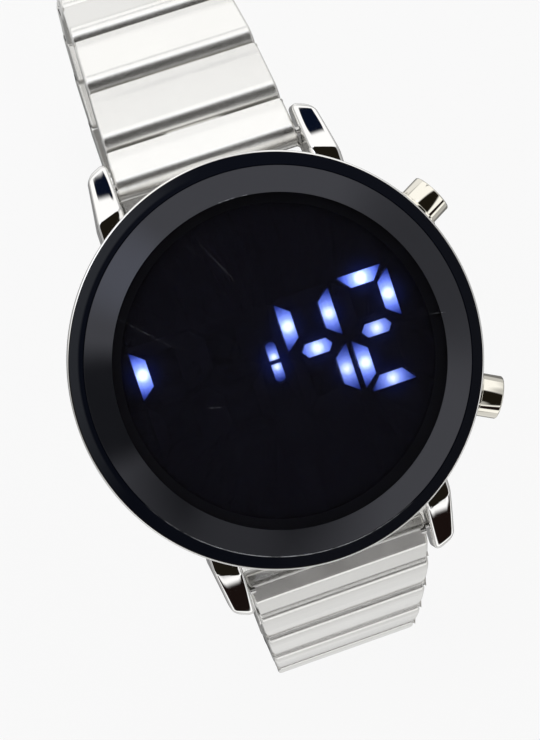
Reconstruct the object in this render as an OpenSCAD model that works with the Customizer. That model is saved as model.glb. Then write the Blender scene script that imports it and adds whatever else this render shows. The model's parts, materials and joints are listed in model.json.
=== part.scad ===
// Round LED wristwatch: a black bevelled crystal over glowing bar digits, two pushers at
// two and four o'clock, and a polished steel bracelet of overlapping slats with a folding clasp.
// Sizes are millimetres. +Z looks out of the crystal, +Y points to twelve o'clock and
// +X to three o'clock. The origin is the centre of the case back's flat outer face.

/* [Case] */
// Outer diameter of the case
case_d = 42.5; // [41.5:0.25:45]
// Width of the polished rim that shows round the bezel
rim_w = 0.25; // [0.15:0.05:0.5]
// Height of the rim above the bezel's seat
rim_h = 0.5; // [0.3:0.05:0.6]
// Thickness of the case's wall, from its side in to the cavity
wall_t = 4.85; // [4.5:0.05:5.2]
// Height of the case's underside above the case back's face
foot_z = 0.35; // [0.2:0.05:0.6]
// Height at which the straight side of the case starts
band_z = 4.2; // [3.6:0.1:4.6]

/* [Lugs] */
// Gap between the two lugs of a pair
lug_gap = 20; // [19:0.5:22]
// Width of a lug at its root
lug_w = 3; // [2.6:0.1:3.4]
// Width of a lug at its tip
lug_tip_w = 2.35; // [2:0.05:2.6]
// Reach of the lug tips beyond the case's side, measured from the centre
lug_reach = 5.35; // [5:0.05:6]
// Drop from the rim to the ridge where a lug starts to slope down
lug_drop = 1.5; // [1.2:0.1:2]
// Distance of that ridge from the case's side
lug_ridge = 1.05; // [0.8:0.05:1.3]
// Slope of a lug's top face
lug_slope = 28; // [24:1:32]
// Width of the chamfers along a lug's top face
lug_chamfer = 0.45; // [0.3:0.05:0.6]

/* [Bezel and crystal] */
// Height of the bezel's upright edge
bezel_edge_h = 0.6; // [0.5:0.05:0.8]
// Width of the bezel's sloping black face
bezel_w = 1.3; // [1:0.05:1.5]
// Height of the bezel's sloping black face
bezel_rise = 1.4; // [1.2:0.05:1.6]
// Thickness of the ledge that carries the crystal
ledge_t = 0.7; // [0.6:0.05:0.8]
// Width of the crystal's bevel
bevel_w = 2.75; // [2.4:0.05:3]
// Height of the crystal's bevel
bevel_rise = 1.05; // [0.8:0.05:1.3]
// Thickness of the gasket under the crystal
gasket_t = 0.2; // [0.15:0.05:0.3]

/* [Movement] */
// Thickness of the case back
back_t = 1.2; // [1.1:0.05:1.5]
// Diameter of the coin cell
cell_d = 20; // [19:0.25:20.5]
// Thickness of the coin cell
cell_h = 3.2; // [2.5:0.1:3.4]
// Thickness of the circuit board
board_t = 0.8; // [0.6:0.05:1]
// Thickness of the display block
block_h = 1.45; // [1.3:0.05:1.8]
// Thickness of the dark filter over the display
filter_t = 0.5; // [0.4:0.05:0.6]
// Wall of the movement ring
ring_wall = 1.6; // [1.2:0.1:1.8]

/* [Display] */
// Height of a digit
digit_h = 11.9; // [10:0.1:12.4]
// Margin between the outer digits and the rim of the display block
digit_margin = 1.37; // [1.2:0.01:2]
// Gap between two digits of a pair
digit_space = 0.8; // [0.6:0.05:1.2]
// Width of a bar
bar_w = 1.2; // [0.9:0.05:1.3]
// Gap between two bars, measured along a mitre
bar_gap = 0.3; // [0.2:0.05:0.4]
// Gap between the hour digits and the minute digits
colon_space = 3.4; // [2.8:0.1:3.6]

/* [Pushers] */
// Diameter of a pusher's cap
push_d = 4.5; // [4:0.1:4.6]
// How far a cap stands out of the case
push_out = 2.6; // [2.2:0.1:3]
// Travel of a pusher
push_travel = 0.8; // [0.6:0.05:0.9]
// Angle of the pushers above and below three o'clock
push_angle = 28; // [26:1:34]
// Diameter of a pusher's stem
stem_d = 1.2; // [1:0.05:1.4]
// Wall of the tube that guides a cap
tube_wall = 0.2; // [0.15:0.05:0.3]

/* [Bracelet] */
// Distance between the two hinge pins of a slat
pitch = 6.8; // [6.4:0.1:7.2]
// Distance from the spring bar to the first hinge pin
end_len = 5; // [4.8:0.1:5.6]
// Radius of a slat's rounded nose
nose_r = 1.45; // [1.4:0.01:1.5]
// Step from the top of the nose down to the slat's flat top
nose_step = 0.3; // [0.2:0.05:0.4]
// Fall of the flat top from its nose to its far edge
slat_fall = 0.2; // [0.1:0.05:0.3]
// Gap between a nose and the slat before it
nose_gap = 0.12; // [0.1:0.01:0.16]
// Width of the bracelet at the clasp
clasp_w = 16; // [15:0.25:17]
// Loss of width for each millimetre of length
taper = 0.115; // [0.08:0.005:0.14]
// Diameter of a hinge pin
pin_d = 1; // [0.9:0.05:1.1]
// Width of the tongue that takes the hinge pin
tongue_w = 6; // [5:0.25:7]
// Diameter of a spring bar
bar_d = 1.6; // [1.4:0.05:1.7]
// Slopes below the dial of the links on the twelve o'clock side, from the case down
slopes_12 = [15, 21, 33, 53, 73, 93, 113, 133, 153, 173]; // [0:1:190]
// Slopes below the dial of the links on the six o'clock side, from the case down
slopes_6 = [45, 58, 61, 66, 88, 110, 132, 154, 176]; // [0:1:190]

/* [Clasp] */
// Thickness of the clasp's cover plate
cover_t = 0.8; // [0.7:0.05:0.9]
// Thickness of the cover's side walls
skirt_t = 0.7; // [0.6:0.05:0.8]
// Thickness of the folding blades
blade_t = 0.8; // [0.7:0.05:0.85]
// Radius of the clasp's hinge knuckles
knuckle_r = 0.85; // [0.8:0.01:0.9]
// Distance of the cover's blade hinge from the clasp's free end
hinge_back = 5; // [4.5:0.1:5.5]
// Distance of the blades' own hinge from the clasp's fixed end
hinge_front = 4.5; // [4:0.1:5]

/* [Clearances] */
// Clearance round a turning pin or stem
run_fit = 0.05; // [0.03:0.01:0.08]
// Clearance round a fixed pin or tube
press_fit = 0.01; // [0.005:0.005:0.02]
// Side clearance between links, lugs and blades
side_gap = 0.2; // [0.15:0.01:0.25]
// Clearance of parts that are set in the case
seat_gap = 0.1; // [0.05:0.01:0.12]

/* [Hidden] */
smooth = 96;
fine = 40;

case_r = case_d / 2;
cavity_r = case_r - wall_t;
// How far a cut runs past the face it starts from
over = 1;
big = 40;

// Heights of the movement's stack, from the case back up to the crystal
cell_z = back_t + 2 * seat_gap;
board_gap = 0.15;
board_z = cell_z + cell_h + board_gap;
block_z = board_z + board_t;
seat_z = block_z + block_h;
rim_z = seat_z + rim_h;
ledge_z = seat_z + ledge_t;
crystal_z = ledge_z + gasket_t;
crown_z = seat_z + bezel_edge_h + bezel_rise;

// Radii of the bezel and the crystal, from the outside in
bezel_r = case_r - rim_w;
bezel_land = 0.05;
crystal_fit = 0.04;
crystal_r = bezel_r - bezel_w - bezel_land - crystal_fit;
ledge_lap = 1.2;
ledge_in_r = cavity_r + ledge_lap;

// Case back, its gasket groove and its screws, from the cavity out to the case's foot
back_flange = 0.9;
back_chamfer = 0.35;
groove_w = 0.55;
groove_r = cavity_r + groove_w;
screw_r = 0.4;
screw_head_r = 0.6;
screw_edge = 0.25;
groove_wall = 0.09;
screw_ring_r = groove_r + groove_wall + screw_r + press_fit;
back_r = screw_ring_r + screw_head_r + screw_edge;
foot_w = 0.7;
base_r = back_r + foot_w;
belly_in = case_r - base_r;
screw_len = 2.6;
screw_count = 4;

// Spring bars between the lugs
bar_out = 0.45;
bar_y = case_r + bar_out;
bar_z = 1.6;
bar_tip_d = 0.8;
bar_tip_in = 0.9;
lug_tip_r = case_r + lug_reach;
under_step = 0.1;
lug_under = foot_z + under_step;
link_w = lug_gap - 2 * side_gap;
collar_l = 0.6;
collar_rim = 0.2;

// Pushers, measured outwards from the centre of the case
push_drop = 0.55;
push_z = board_z - push_drop;
push_r = push_d / 2;
tube_r = push_r + run_fit + tube_wall;
tube_out = 0.35;
tube_in = 3.05;
shoulder_r = case_r - tube_in;
cap_tip_r = case_r + push_out;
spring_room = 2.4;
cap_in_r = shoulder_r + spring_room;
seal_pocket = 0.8;
seal_wire = 0.26;
seal_r = stem_d / 2 + seal_wire + run_fit;
stem_reach = 1.5;
stem_end_r = cavity_r - stem_reach;
clip_t = 0.25;
clip_out_r = cavity_r - seat_gap;
clip_rim = 0.35;
clip_neck = 0.15;
board_room = 1.2;
board_r = cavity_r - board_room;
notch_room = 0.5;
notch_r = stem_end_r - push_travel - notch_room;
notch_side = 1.1;
notch_w = stem_d + 2 * notch_side;

// Bracelet
scoop_r = nose_r + nose_gap;
top_near = nose_r - nose_step;
top_far = top_near - slat_fall;
tongue_wall = 0.45;
tongue_r = pin_d / 2 + tongue_wall;
notch_clear = 0.1;
neck_t = 0.9;
pin_inset = 0.25;

// Clasp
cover_gap = 0.05;
cover_z = top_near - cover_gap;
blade_gap = 0.1;
blade_w = clasp_w - 2 * skirt_t - 2 * side_gap;
fold_z = -(knuckle_r + blade_gap);
clasp_drop = -fold_z + blade_t / 2;
hook_wall = 0.5;
hook_r = pin_d / 2 + hook_wall;
knuckle_lap = 0.5;
knuckle_w = tongue_w + 2 * knuckle_lap;

names_12 = [for (i = [1 : len(slopes_12) - 1]) str("slat_12_", i)];
names_6 = [for (i = [1 : len(slopes_6) - 1]) str("slat_6_", i)];

steel = "#d2d4d6";
dull_steel = "#9b9c9e";
gloss_black = "#0b0d12";

// Where each hinge of the bracelet lies, as [y, z]. side is 1 towards twelve, -1 towards six.
function link_len(i) = i == 0 ? end_len : pitch;
function step_along(side, a) = [side * cos(a), -sin(a)];
function hinge(side, slopes, i) = i == 0
    ? [side * bar_y, bar_z]
    : hinge(side, slopes, i - 1) + link_len(i - 1) * step_along(side, slopes[i - 1]);
function run_to(i) = i == 0 ? 0 : end_len + (i - 1) * pitch;
function width_at(s) = max(clasp_w, link_w - taper * s);

end_12 = hinge(1, slopes_12, len(slopes_12));
end_6 = hinge(-1, slopes_6, len(slopes_6));
clasp_chord = norm(end_12 - end_6);
clasp_len = sqrt(clasp_chord * clasp_chord - clasp_drop * clasp_drop);
clasp_slope = atan2(end_6[1] - end_12[1], end_6[0] - end_12[0]) - asin(clasp_drop / clasp_chord);

// Puts a link drawn along +Y, with its outside up, at hinge p and slope a
module place(side, p, a) {
    translate([0, p[0], p[1]])
        rotate([0, 0, side > 0 ? 0 : 180])
            rotate([-a, 0, 0])
                children();
}

// A rod along X, centred
module rod(r, l) {
    rotate([0, 90, 0])
        cylinder(r = r, h = l, center = true, $fn = fine);
}

// A flat outline in (along, outwards), given a width across X
module across(w) {
    translate([-w / 2, 0, 0])
        rotate([90, 0, 90])
            linear_extrude(w)
                children();
}

// Turns what is drawn along +Z to point outwards at one pusher. hand is 1 above, -1 below.
module at_pusher(hand) {
    rotate([0, 0, hand * push_angle])
        translate([0, 0, push_z])
            rotate([0, 90, 0])
                children();
}

// The top face of a lug slopes down along Y from a ridge at this radius and height
ridge_r = case_r + lug_ridge;
ridge_z = rim_z - lug_drop;
lug_mid_x = lug_gap / 2 + lug_w / 2;
lug_root = 3;
lug_over = 2;
ridge_y = sqrt(ridge_r * ridge_r - lug_mid_x * lug_mid_x);

module lug_plan() {
    in_x = lug_gap / 2;
    tip_y = lug_tip_r;
    root_y = ridge_y - lug_root;
    polygon([[in_x, root_y], [in_x + lug_w, root_y], [in_x + lug_w, ridge_y],
             [in_x + lug_tip_w, tip_y], [in_x, tip_y]]);
}

module lug() {
    tip_bevel = 0.9;
    tip_fall = 3.1;
    root_fall = 0.5;
    top = ridge_z + lug_over;
    out_turn = atan2(lug_w - lug_tip_w, lug_tip_r - ridge_y);
    difference() {
        intersection() {
            translate([0, 0, lug_under])
                linear_extrude(top)
                    lug_plan();
            rotate_extrude($fn = smooth)
                polygon([[0, 0], [lug_tip_r - tip_bevel, 0], [lug_tip_r, tip_bevel + lug_under],
                         [lug_tip_r, ridge_z - tip_fall], [lug_tip_r - tip_bevel, ridge_z],
                         [lug_tip_r - 1.5 * tip_bevel, top], [0, top]]);
        }
        // the sloping top face and the chamfers along its two edges
        translate([0, ridge_y, ridge_z])
            rotate([-lug_slope, 0, 0]) {
                translate([-big, -big, 0])
                    cube([2 * big, 2 * big, big]);
                translate([lug_gap / 2 + lug_chamfer, 0, 0])
                    rotate([0, -45, 0])
                        translate([-big, -big, 0])
                            cube([big, 2 * big, big]);
                translate([lug_gap / 2 + lug_w - lug_chamfer, 0, 0])
                    rotate([0, 0, out_turn])
                        rotate([0, 45, 0])
                            translate([0, -big, 0])
                                cube([big, 2 * big, big]);
            }
        // the short root facet that falls back towards the case
        rotate_extrude($fn = smooth)
            polygon([[0, ridge_z - 2 * root_fall], [case_r, ridge_z - root_fall], [ridge_r, ridge_z],
                     [ridge_r, top + over], [0, top + over]]);
    }
}

module case_body() {
    rim_chamfer = 0.1;
    waist_out = 0.55;
    waist_up = 0.3;
    waist_r = base_r + waist_out * belly_in;
    waist_z = foot_z + waist_up * (band_z - foot_z);
    rotate_extrude($fn = smooth)
        polygon([[0, foot_z], [base_r, foot_z], [waist_r, waist_z], [case_r, band_z],
                 [case_r, rim_z - rim_chamfer], [case_r - rim_chamfer, rim_z],
                 [bezel_r + press_fit, rim_z], [bezel_r + press_fit, seat_z], [0, seat_z]]);
}

module case() {
    color(steel)
    difference() {
        union() {
            difference() {
                case_body();
                // room for the nose of each end link
                for (side = [-1, 1])
                    translate([0, side * bar_y, bar_z])
                        rod(nose_r + side_gap, lug_gap);
            }
            for (mx = [0, 1], my = [0, 1])
                mirror([mx, 0, 0])
                    mirror([0, my, 0])
                        difference() {
                            lug();
                            cylinder(r = base_r, h = 2 * rim_z, $fn = smooth);
                        }
        }
        // cavity, gasket groove and the recess of the case back
        cylinder(r = cavity_r, h = 2 * rim_z, $fn = smooth);
        cylinder(r = groove_r, h = back_t + seat_gap, $fn = smooth);
        cylinder(r = back_r + seat_gap, h = back_flange, $fn = smooth);
        for (side = [-1, 1])
            translate([0, side * bar_y, bar_z])
                rod(bar_tip_d / 2 + press_fit, lug_gap + 2 * bar_tip_in + 2 * seat_gap);
        for (hand = [-1, 1])
            at_pusher(hand) {
                translate([0, 0, shoulder_r])
                    cylinder(r = tube_r + press_fit, h = big, $fn = fine);
                translate([0, 0, shoulder_r - seal_pocket])
                    cylinder(r = seal_r + seal_wire + press_fit, h = big / 2, $fn = fine);
                cylinder(r = stem_d / 2 + run_fit, h = big, $fn = fine);
            }
        screw_places()
            cylinder(r = screw_r + press_fit, h = screw_len + seat_gap, $fn = fine);
    }
}

module bezel() {
    land_r = bezel_r - bezel_w;
    in_r = crystal_r + crystal_fit;
    color(gloss_black)
    rotate_extrude($fn = smooth)
        polygon([[ledge_in_r, seat_z], [bezel_r, seat_z], [bezel_r, seat_z + bezel_edge_h],
                 [land_r, crown_z], [in_r, crown_z], [in_r, ledge_z], [ledge_in_r, ledge_z]]);
}

module crystal() {
    flat_r = crystal_r - bevel_w;
    color("#1c1d20")
    rotate_extrude($fn = smooth)
        polygon([[0, crystal_z], [crystal_r, crystal_z], [crystal_r, crown_z],
                 [flat_r, crown_z + bevel_rise], [0, crown_z + bevel_rise]]);
}

module flat_ring(in_r, out_r, z, h) {
    translate([0, 0, z])
        difference() {
            cylinder(r = out_r, h = h, $fn = smooth);
            translate([0, 0, -over])
                cylinder(r = in_r, h = h + 2 * over, $fn = smooth);
        }
}

module crystal_gasket() {
    color("#2b2b2d")
    flat_ring(ledge_in_r + seat_gap, crystal_r - seat_gap, ledge_z, gasket_t);
}

module dark_filter() {
    color("#18181c")
    translate([0, 0, seat_z])
        cylinder(r = ledge_in_r - seat_gap, h = filter_t, $fn = smooth);
}

// Display: four digits of seven bars each, round a colon. A bar's outer edge is long and
// its inner edge short, so that neighbours meet along mitres; the middle bar is a hexagon.
half_h = digit_h / 2;
block_r = cavity_r - 2 * seat_gap;
row_w = 2 * (sqrt(block_r * block_r - half_h * half_h) - digit_margin);
digit_w = (row_w - colon_space - 2 * digit_space) / 4;
digit_step = digit_w + digit_space;
hours_x = -colon_space / 2 - digit_step - digit_w;
minutes_x = colon_space / 2;
digit_x = [hours_x, hours_x + digit_step, minutes_x, minutes_x + digit_step];
display_shift = -0.35;

// The bars are numbered clockwise from the top one, as 0 to 5, and the middle one is 6
module edge_bar(l) {
    polygon([[bar_gap, 0], [l - bar_gap, 0], [l - bar_gap - bar_w, -bar_w], [bar_gap + bar_w, -bar_w]]);
}

module bar_outline(k) {
    mid = bar_w / 2;
    if (k == 0)
        translate([0, half_h]) edge_bar(digit_w);
    if (k == 3)
        translate([0, -half_h]) mirror([0, 1]) edge_bar(digit_w);
    if (k == 1)
        translate([digit_w, half_h]) rotate(-90) edge_bar(half_h);
    if (k == 2)
        translate([digit_w, 0]) rotate(-90) edge_bar(half_h);
    if (k == 5)
        rotate(90) edge_bar(half_h);
    if (k == 4)
        translate([0, -half_h]) rotate(90) edge_bar(half_h);
    if (k == 6)
        polygon([[bar_w + bar_gap / 2, 0], [bar_w + mid, mid], [digit_w - bar_w - mid, mid],
                 [digit_w - bar_w - bar_gap / 2, 0], [digit_w - bar_w - mid, -mid], [bar_w + mid, -mid]]);
}

// The time shown: a bar at the left, then 4 and 2. Each list names the bars that are lit.
lit = [[5], [], [1, 2, 5, 6], [0, 1, 3, 4, 6]];
colon_w = 1.05;
colon_h = 2.2;
colon_gap = 0.25;

module bars(on) {
    for (d = [0 : len(digit_x) - 1], k = [0 : 6])
        if ((len(search(k, lit[d])) > 0) == on)
            translate([digit_x[d] + display_shift, 0])
                bar_outline(k);
}

module colon() {
    for (up = [0, 1])
        translate([display_shift, 0])
            mirror([0, up])
                translate([-colon_w / 2, -colon_gap / 2 - colon_h]) {
                    translate([0, colon_w / 2])
                        square([colon_w, colon_h - colon_w / 2]);
                    translate([colon_w / 2, colon_w / 2])
                        circle(d = colon_w, $fn = fine);
                }
}

light_floor = 0.45;
light_recess = 0.05;

module display_block() {
    color("#101013")
    difference() {
        translate([0, 0, block_z])
            cylinder(r = block_r, h = block_h, $fn = smooth);
        translate([0, 0, block_z - over])
            linear_extrude(block_h + 2 * over)
                union() {
                    bars(true);
                    bars(false);
                    colon();
                }
    }
}

module light_pipes(shade) {
    color(shade)
    translate([0, 0, block_z + light_floor])
        linear_extrude(block_h - light_floor - light_recess)
            children();
}

module lit_bars() {
    light_pipes("#b9c8ff")
        union() {
            bars(true);
            colon();
        }
}

module dark_bars() {
    light_pipes("#16161c")
        bars(false);
}

module led_dies() {
    die = [0.7, 0.7, 0.3];
    color("#e8e6c0")
    for (x = digit_x)
        translate([x + display_shift, 0, block_z]) {
            for (y = [-half_h + bar_w / 2, 0, half_h - bar_w / 2])
                translate([digit_w / 2 - die[0] / 2, y - die[1] / 2, 0])
                    cube(die);
            for (px = [bar_w / 2, digit_w - bar_w / 2], y = [-half_h / 2, half_h / 2])
                translate([px - die[0] / 2, y - die[1] / 2, 0])
                    cube(die);
        }
}

module circuit_board() {
    color("#1e4a33")
    translate([0, 0, board_z])
        difference() {
            cylinder(r = board_r, h = board_t, $fn = smooth);
            for (hand = [-1, 1])
                rotate([0, 0, hand * push_angle])
                    translate([notch_r, -notch_w / 2, -over])
                        cube([big, notch_w, board_t + 2 * over]);
        }
}

ring_in_r = cavity_r - seat_gap - ring_wall;

// The chip lies midway between the cell and the movement ring, and the can close to the cell
chip_w = 3.2;
chip_h = 0.9;
chip_room = 0.75;
chip_l = ring_in_r - cell_d / 2 - 2 * chip_room;
chip_y = cell_d / 2 + chip_room;
can_d = 1.5;
can_l = 5;
cell_room = 0.2;
can_y = cell_d / 2 + cell_room + can_d / 2;

module controller_chip() {
    color("#1a1a1a")
    translate([-chip_w / 2, chip_y, board_z - chip_h])
        cube([chip_w, chip_l, chip_h]);
}

module quartz_can() {
    color("#b8babd")
    translate([-can_l / 2, -can_y, board_z - can_d / 2 - press_fit])
        rotate([0, 90, 0])
            cylinder(d = can_d, h = can_l, $fn = fine);
}

module coin_cell() {
    cell_r = cell_d / 2;
    cap_in = 1.2;
    cap_r = cell_r - cap_in;
    shoulder = 0.3;
    color("#c4c6c8")
    translate([0, 0, cell_z])
        rotate_extrude($fn = smooth)
            polygon([[0, 0], [cell_r - shoulder, 0], [cell_r, shoulder], [cell_r, cell_h - 2 * shoulder],
                     [cap_r + shoulder, cell_h - shoulder], [cap_r, cell_h], [0, cell_h]]);
}

contact_w = 4;
contact_t = 0.12;

// A sprung strip that stands on the board's underside and touches the cell's edge
module cell_contact_plus() {
    strip_x = -cell_d / 2 - seat_gap - contact_t;
    strip_low = 1.1;
    strip_h = cell_h + board_gap - strip_low;
    foot = 1.6;
    color("#c9b26a") {
        translate([strip_x, -contact_w / 2, board_z - strip_h])
            cube([contact_t, contact_w, strip_h]);
        translate([strip_x - foot, -contact_w / 2, board_z - contact_t])
            cube([foot + press_fit, contact_w, contact_t]);
    }
}

// A flat strip between the board and the cell's cap
module cell_contact_minus() {
    strip_l = 9;
    color("#c9b26a")
    translate([-strip_l / 2, -contact_w / 2, board_z - contact_t])
        cube([strip_l, contact_w, contact_t]);
}

module movement_ring() {
    low_z = back_t + seat_gap;
    window = push_z - stem_d / 2 - clip_rim - seat_gap;
    color("#2a2c30")
    difference() {
        flat_ring(ring_in_r, cavity_r - seat_gap, low_z, board_z - low_z);
        for (hand = [-1, 1])
            rotate([0, 0, hand * push_angle])
                translate([ring_in_r - over, -notch_w / 2, window])
                    cube([ring_wall + 2 * over, notch_w, big]);
    }
}

module screw_places() {
    for (i = [0 : screw_count - 1])
        rotate([0, 0, (i + 0.5) * 360 / screw_count])
            translate([screw_ring_r, 0, 0])
                children();
}

head_h = 0.4;

module case_back() {
    color(dull_steel)
    difference() {
        rotate_extrude($fn = smooth)
            polygon([[0, 0], [back_r - back_chamfer, 0], [back_r, back_chamfer], [back_r, back_flange],
                     [cavity_r - seat_gap / 2, back_flange], [cavity_r - seat_gap / 2, back_t], [0, back_t]]);
        screw_places() {
            translate([0, 0, -over])
                cylinder(r = screw_r + run_fit, h = back_t + 2 * over, $fn = fine);
            translate([0, 0, -over])
                cylinder(r = screw_head_r + run_fit, h = head_h + over, $fn = fine);
        }
    }
}

module case_back_gasket() {
    wire = min(groove_w, back_t + seat_gap - back_flange) / 2 - press_fit;
    color("#1d1d1f")
    translate([0, 0, back_flange + wire + press_fit])
        rotate_extrude($fn = smooth)
            translate([(cavity_r + groove_r) / 2, 0])
                circle(r = wire, $fn = fine);
}

module case_back_screws() {
    slot_w = 0.2;
    color("#b4b6b8")
    screw_places()
        difference() {
            union() {
                translate([0, 0, press_fit])
                    cylinder(r = screw_head_r, h = head_h - press_fit, $fn = fine);
                cylinder(r = screw_r, h = screw_len, $fn = fine);
            }
            translate([-big / 2, -slot_w / 2, -over])
                cube([big, slot_w, over + head_h / 2]);
        }
}

module pusher(hand) {
    lip = 0.2;
    lip_mid = 0.3 * lip;
    groove = stem_d / 2 - clip_neck;
    color(steel)
    at_pusher(hand)
        rotate_extrude($fn = fine)
            polygon([[0, stem_end_r], [stem_d / 2, stem_end_r], [stem_d / 2, clip_out_r - clip_t - press_fit],
                     [groove, clip_out_r - clip_t - press_fit], [groove, clip_out_r + press_fit],
                     [stem_d / 2, clip_out_r + press_fit], [stem_d / 2, cap_in_r], [push_r, cap_in_r],
                     [push_r, cap_tip_r - lip], [push_r - lip_mid, cap_tip_r - lip_mid],
                     [push_r - lip, cap_tip_r], [0, cap_tip_r]]);
}

module pusher_tube(hand) {
    color(steel)
    at_pusher(hand)
        difference() {
            translate([0, 0, shoulder_r])
                cylinder(r = tube_r, h = case_r + tube_out - shoulder_r, $fn = fine);
            cylinder(r = push_r + run_fit, h = big, $fn = fine);
        }
}

spring_wire = 0.26;
spring_turns = 4;
spring_sides = 6;
spring_steps = 10;
spring_mid_r = seal_r + seal_wire + spring_wire;
spring_low = shoulder_r + spring_wire / 2 + press_fit;
spring_top = cap_in_r - spring_wire / 2 - press_fit;

// Points of the wire's section at turn angle t, along the helix
function spring_ring(t) = [for (k = [0 : spring_sides - 1])
    let (a = 360 * k / spring_sides, r = spring_mid_r + spring_wire / 2 * cos(a))
    [r * cos(t), r * sin(t),
     spring_low + (spring_top - spring_low) * t / (360 * spring_turns) + spring_wire / 2 * sin(a)]];

module pusher_spring(hand) {
    rings = spring_turns * spring_steps;
    n = spring_sides;
    points = [for (i = [0 : rings]) each spring_ring(360 * i / spring_steps)];
    sides = [for (i = [0 : rings - 1], k = [0 : n - 1])
        let (a = i * n + k, b = i * n + (k + 1) % n)
        each [[a, a + n, b], [b, a + n, b + n]]];
    caps = [for (k = [1 : n - 2]) each [[0, k, k + 1], [rings * n, rings * n + k + 1, rings * n + k]]];
    color("#8f9194")
    at_pusher(hand)
        polyhedron(points = points, faces = concat(sides, caps));
}

module pusher_seal(hand) {
    color("#1d1d1f")
    at_pusher(hand)
        translate([0, 0, shoulder_r - seal_pocket / 2])
            rotate_extrude($fn = fine)
                translate([seal_r, 0])
                    circle(r = seal_wire, $fn = fine);
}

module pusher_clip(hand) {
    clip_r = stem_d / 2 + clip_rim;
    in_r = stem_d / 2 - clip_neck + press_fit;
    clip_mouth = 1.6 * in_r;
    color("#8f9194")
    at_pusher(hand)
        translate([0, 0, clip_out_r - clip_t])
            difference() {
                cylinder(r = clip_r, h = clip_t, $fn = fine);
                translate([0, 0, -over])
                    cylinder(r = in_r, h = clip_t + 2 * over, $fn = fine);
                translate([0, -clip_mouth / 2, -over])
                    cube([clip_r + over, clip_mouth, clip_t + 2 * over]);
            }
}

// A leaf on the board's underside that a stem presses
module switch_leaf(hand) {
    leaf_w = 1.8;
    leaf_out = 0.15;
    leaf_r = notch_r + leaf_out;
    foot = 1.1;
    color("#c9b26a")
    rotate([0, 0, hand * push_angle]) {
        translate([leaf_r - foot, -leaf_w / 2, board_z - contact_t])
            cube([foot + contact_t, leaf_w, contact_t]);
        translate([leaf_r, -leaf_w / 2, board_z - contact_t])
            cube([contact_t, leaf_w, board_t]);
        translate([leaf_r, -leaf_w / 2, push_z - stem_d / 2])
            cube([contact_t, leaf_w, board_z - push_z + stem_d / 2]);
    }
}

module spring_bar(side) {
    color("#b4b6b8")
    translate([0, side * bar_y, bar_z]) {
        rod(bar_tip_d / 2, lug_gap + 2 * bar_tip_in);
        rod(bar_d / 2, link_w);
        for (mx = [0, 1])
            mirror([mx, 0, 0])
                translate([link_w / 2 - collar_l / 2, 0, 0])
                    rod(bar_d / 2 + collar_rim, collar_l);
    }
}

// Side view of one link: the nose round its near hinge, a flat top, and a scoop for the next nose
module link_outline(l) {
    heel = l - 0.9;
    heel_bevel = [1, 0.45];
    difference() {
        union() {
            circle(r = nose_r, $fn = fine);
            polygon([[0, -nose_r], [heel - heel_bevel[0], -nose_r], [heel, -nose_r + heel_bevel[1]],
                     [heel, top_far], [0, top_near]]);
        }
        translate([l, 0])
            circle(r = scoop_r, $fn = fine);
    }
}

module link_plan(l, s) {
    w0 = width_at(s) / 2 + taper * nose_r / 2;
    w1 = width_at(s + l) / 2;
    translate([0, 0, -big / 2])
        linear_extrude(big)
            polygon([[-w0, -nose_r], [w0, -nose_r], [w1, l], [-w1, l]]);
}

// Room inside a nose for the tongue of the link before it, over the whole bend
module tongue_room() {
    from = 148;
    to = 248;
    reach = 1.6 * nose_r;
    across(tongue_w + 2 * side_gap) {
        circle(r = tongue_r + notch_clear, $fn = fine);
        polygon([[0, 0], reach * [cos(from), sin(from)], reach * [cos((from + to) / 2), sin((from + to) / 2)],
                 reach * [cos(to), sin(to)]]);
    }
}

module tongue(l, hole_r) {
    neck_l = scoop_r + 0.3;
    difference() {
        across(tongue_w)
            translate([l, 0]) {
                circle(r = tongue_r, $fn = fine);
                translate([-neck_l, -neck_t / 2])
                    square([neck_l, neck_t]);
            }
        translate([0, l, 0])
            rod(hole_r, 2 * tongue_w);
    }
}

module link_body(l, s, first, last) {
    difference() {
        intersection() {
            across(2 * lug_gap)
                link_outline(l);
            link_plan(l, s);
        }
        if (first) {
            rod(bar_d / 2 + run_fit, 2 * lug_gap);
            // room for the collars at the ends of the spring bar
            for (mx = [0, 1])
                mirror([mx, 0, 0])
                    translate([lug_gap / 2, 0, 0])
                        rod(bar_d / 2 + collar_rim + run_fit, 2 * (collar_l + 2 * side_gap));
        } else {
            rod(pin_d / 2 + press_fit, 2 * lug_gap);
            tongue_room();
        }
    }
    tongue(l, pin_d / 2 + (last ? press_fit : run_fit));
}

module end_link(side, slopes) {
    color(steel)
    place(side, hinge(side, slopes, 0), slopes[0])
        link_body(end_len, 0, true, false);
}

hook_inset = 0.6;
hook_pin_l = blade_w - 2 * hook_inset;

// A slat and the pin in its nose. The last slat before the clasp's free end also holds a bar.
module slat(side, slopes, i) {
    last = side > 0 && i == len(slopes) - 1;
    color(steel)
    place(side, hinge(side, slopes, i), slopes[i]) {
        link_body(pitch, run_to(i), false, last);
        rod(pin_d / 2, width_at(run_to(i)) - 2 * pin_inset);
        if (last)
            translate([0, pitch, 0])
                rod(pin_d / 2, hook_pin_l);
    }
}

// Clasp. Everything is drawn along +Y from the last hinge of the six o'clock side.
cover_short = 0.9;
skirt_short = 2.3;
cover_end = clasp_len - cover_short;
skirt_end = clasp_len - skirt_short;
hinge_a = clasp_len - hinge_back;
skirt_low = -0.75;

module at_clasp() {
    place(-1, end_6, clasp_slope)
        children();
}

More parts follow.
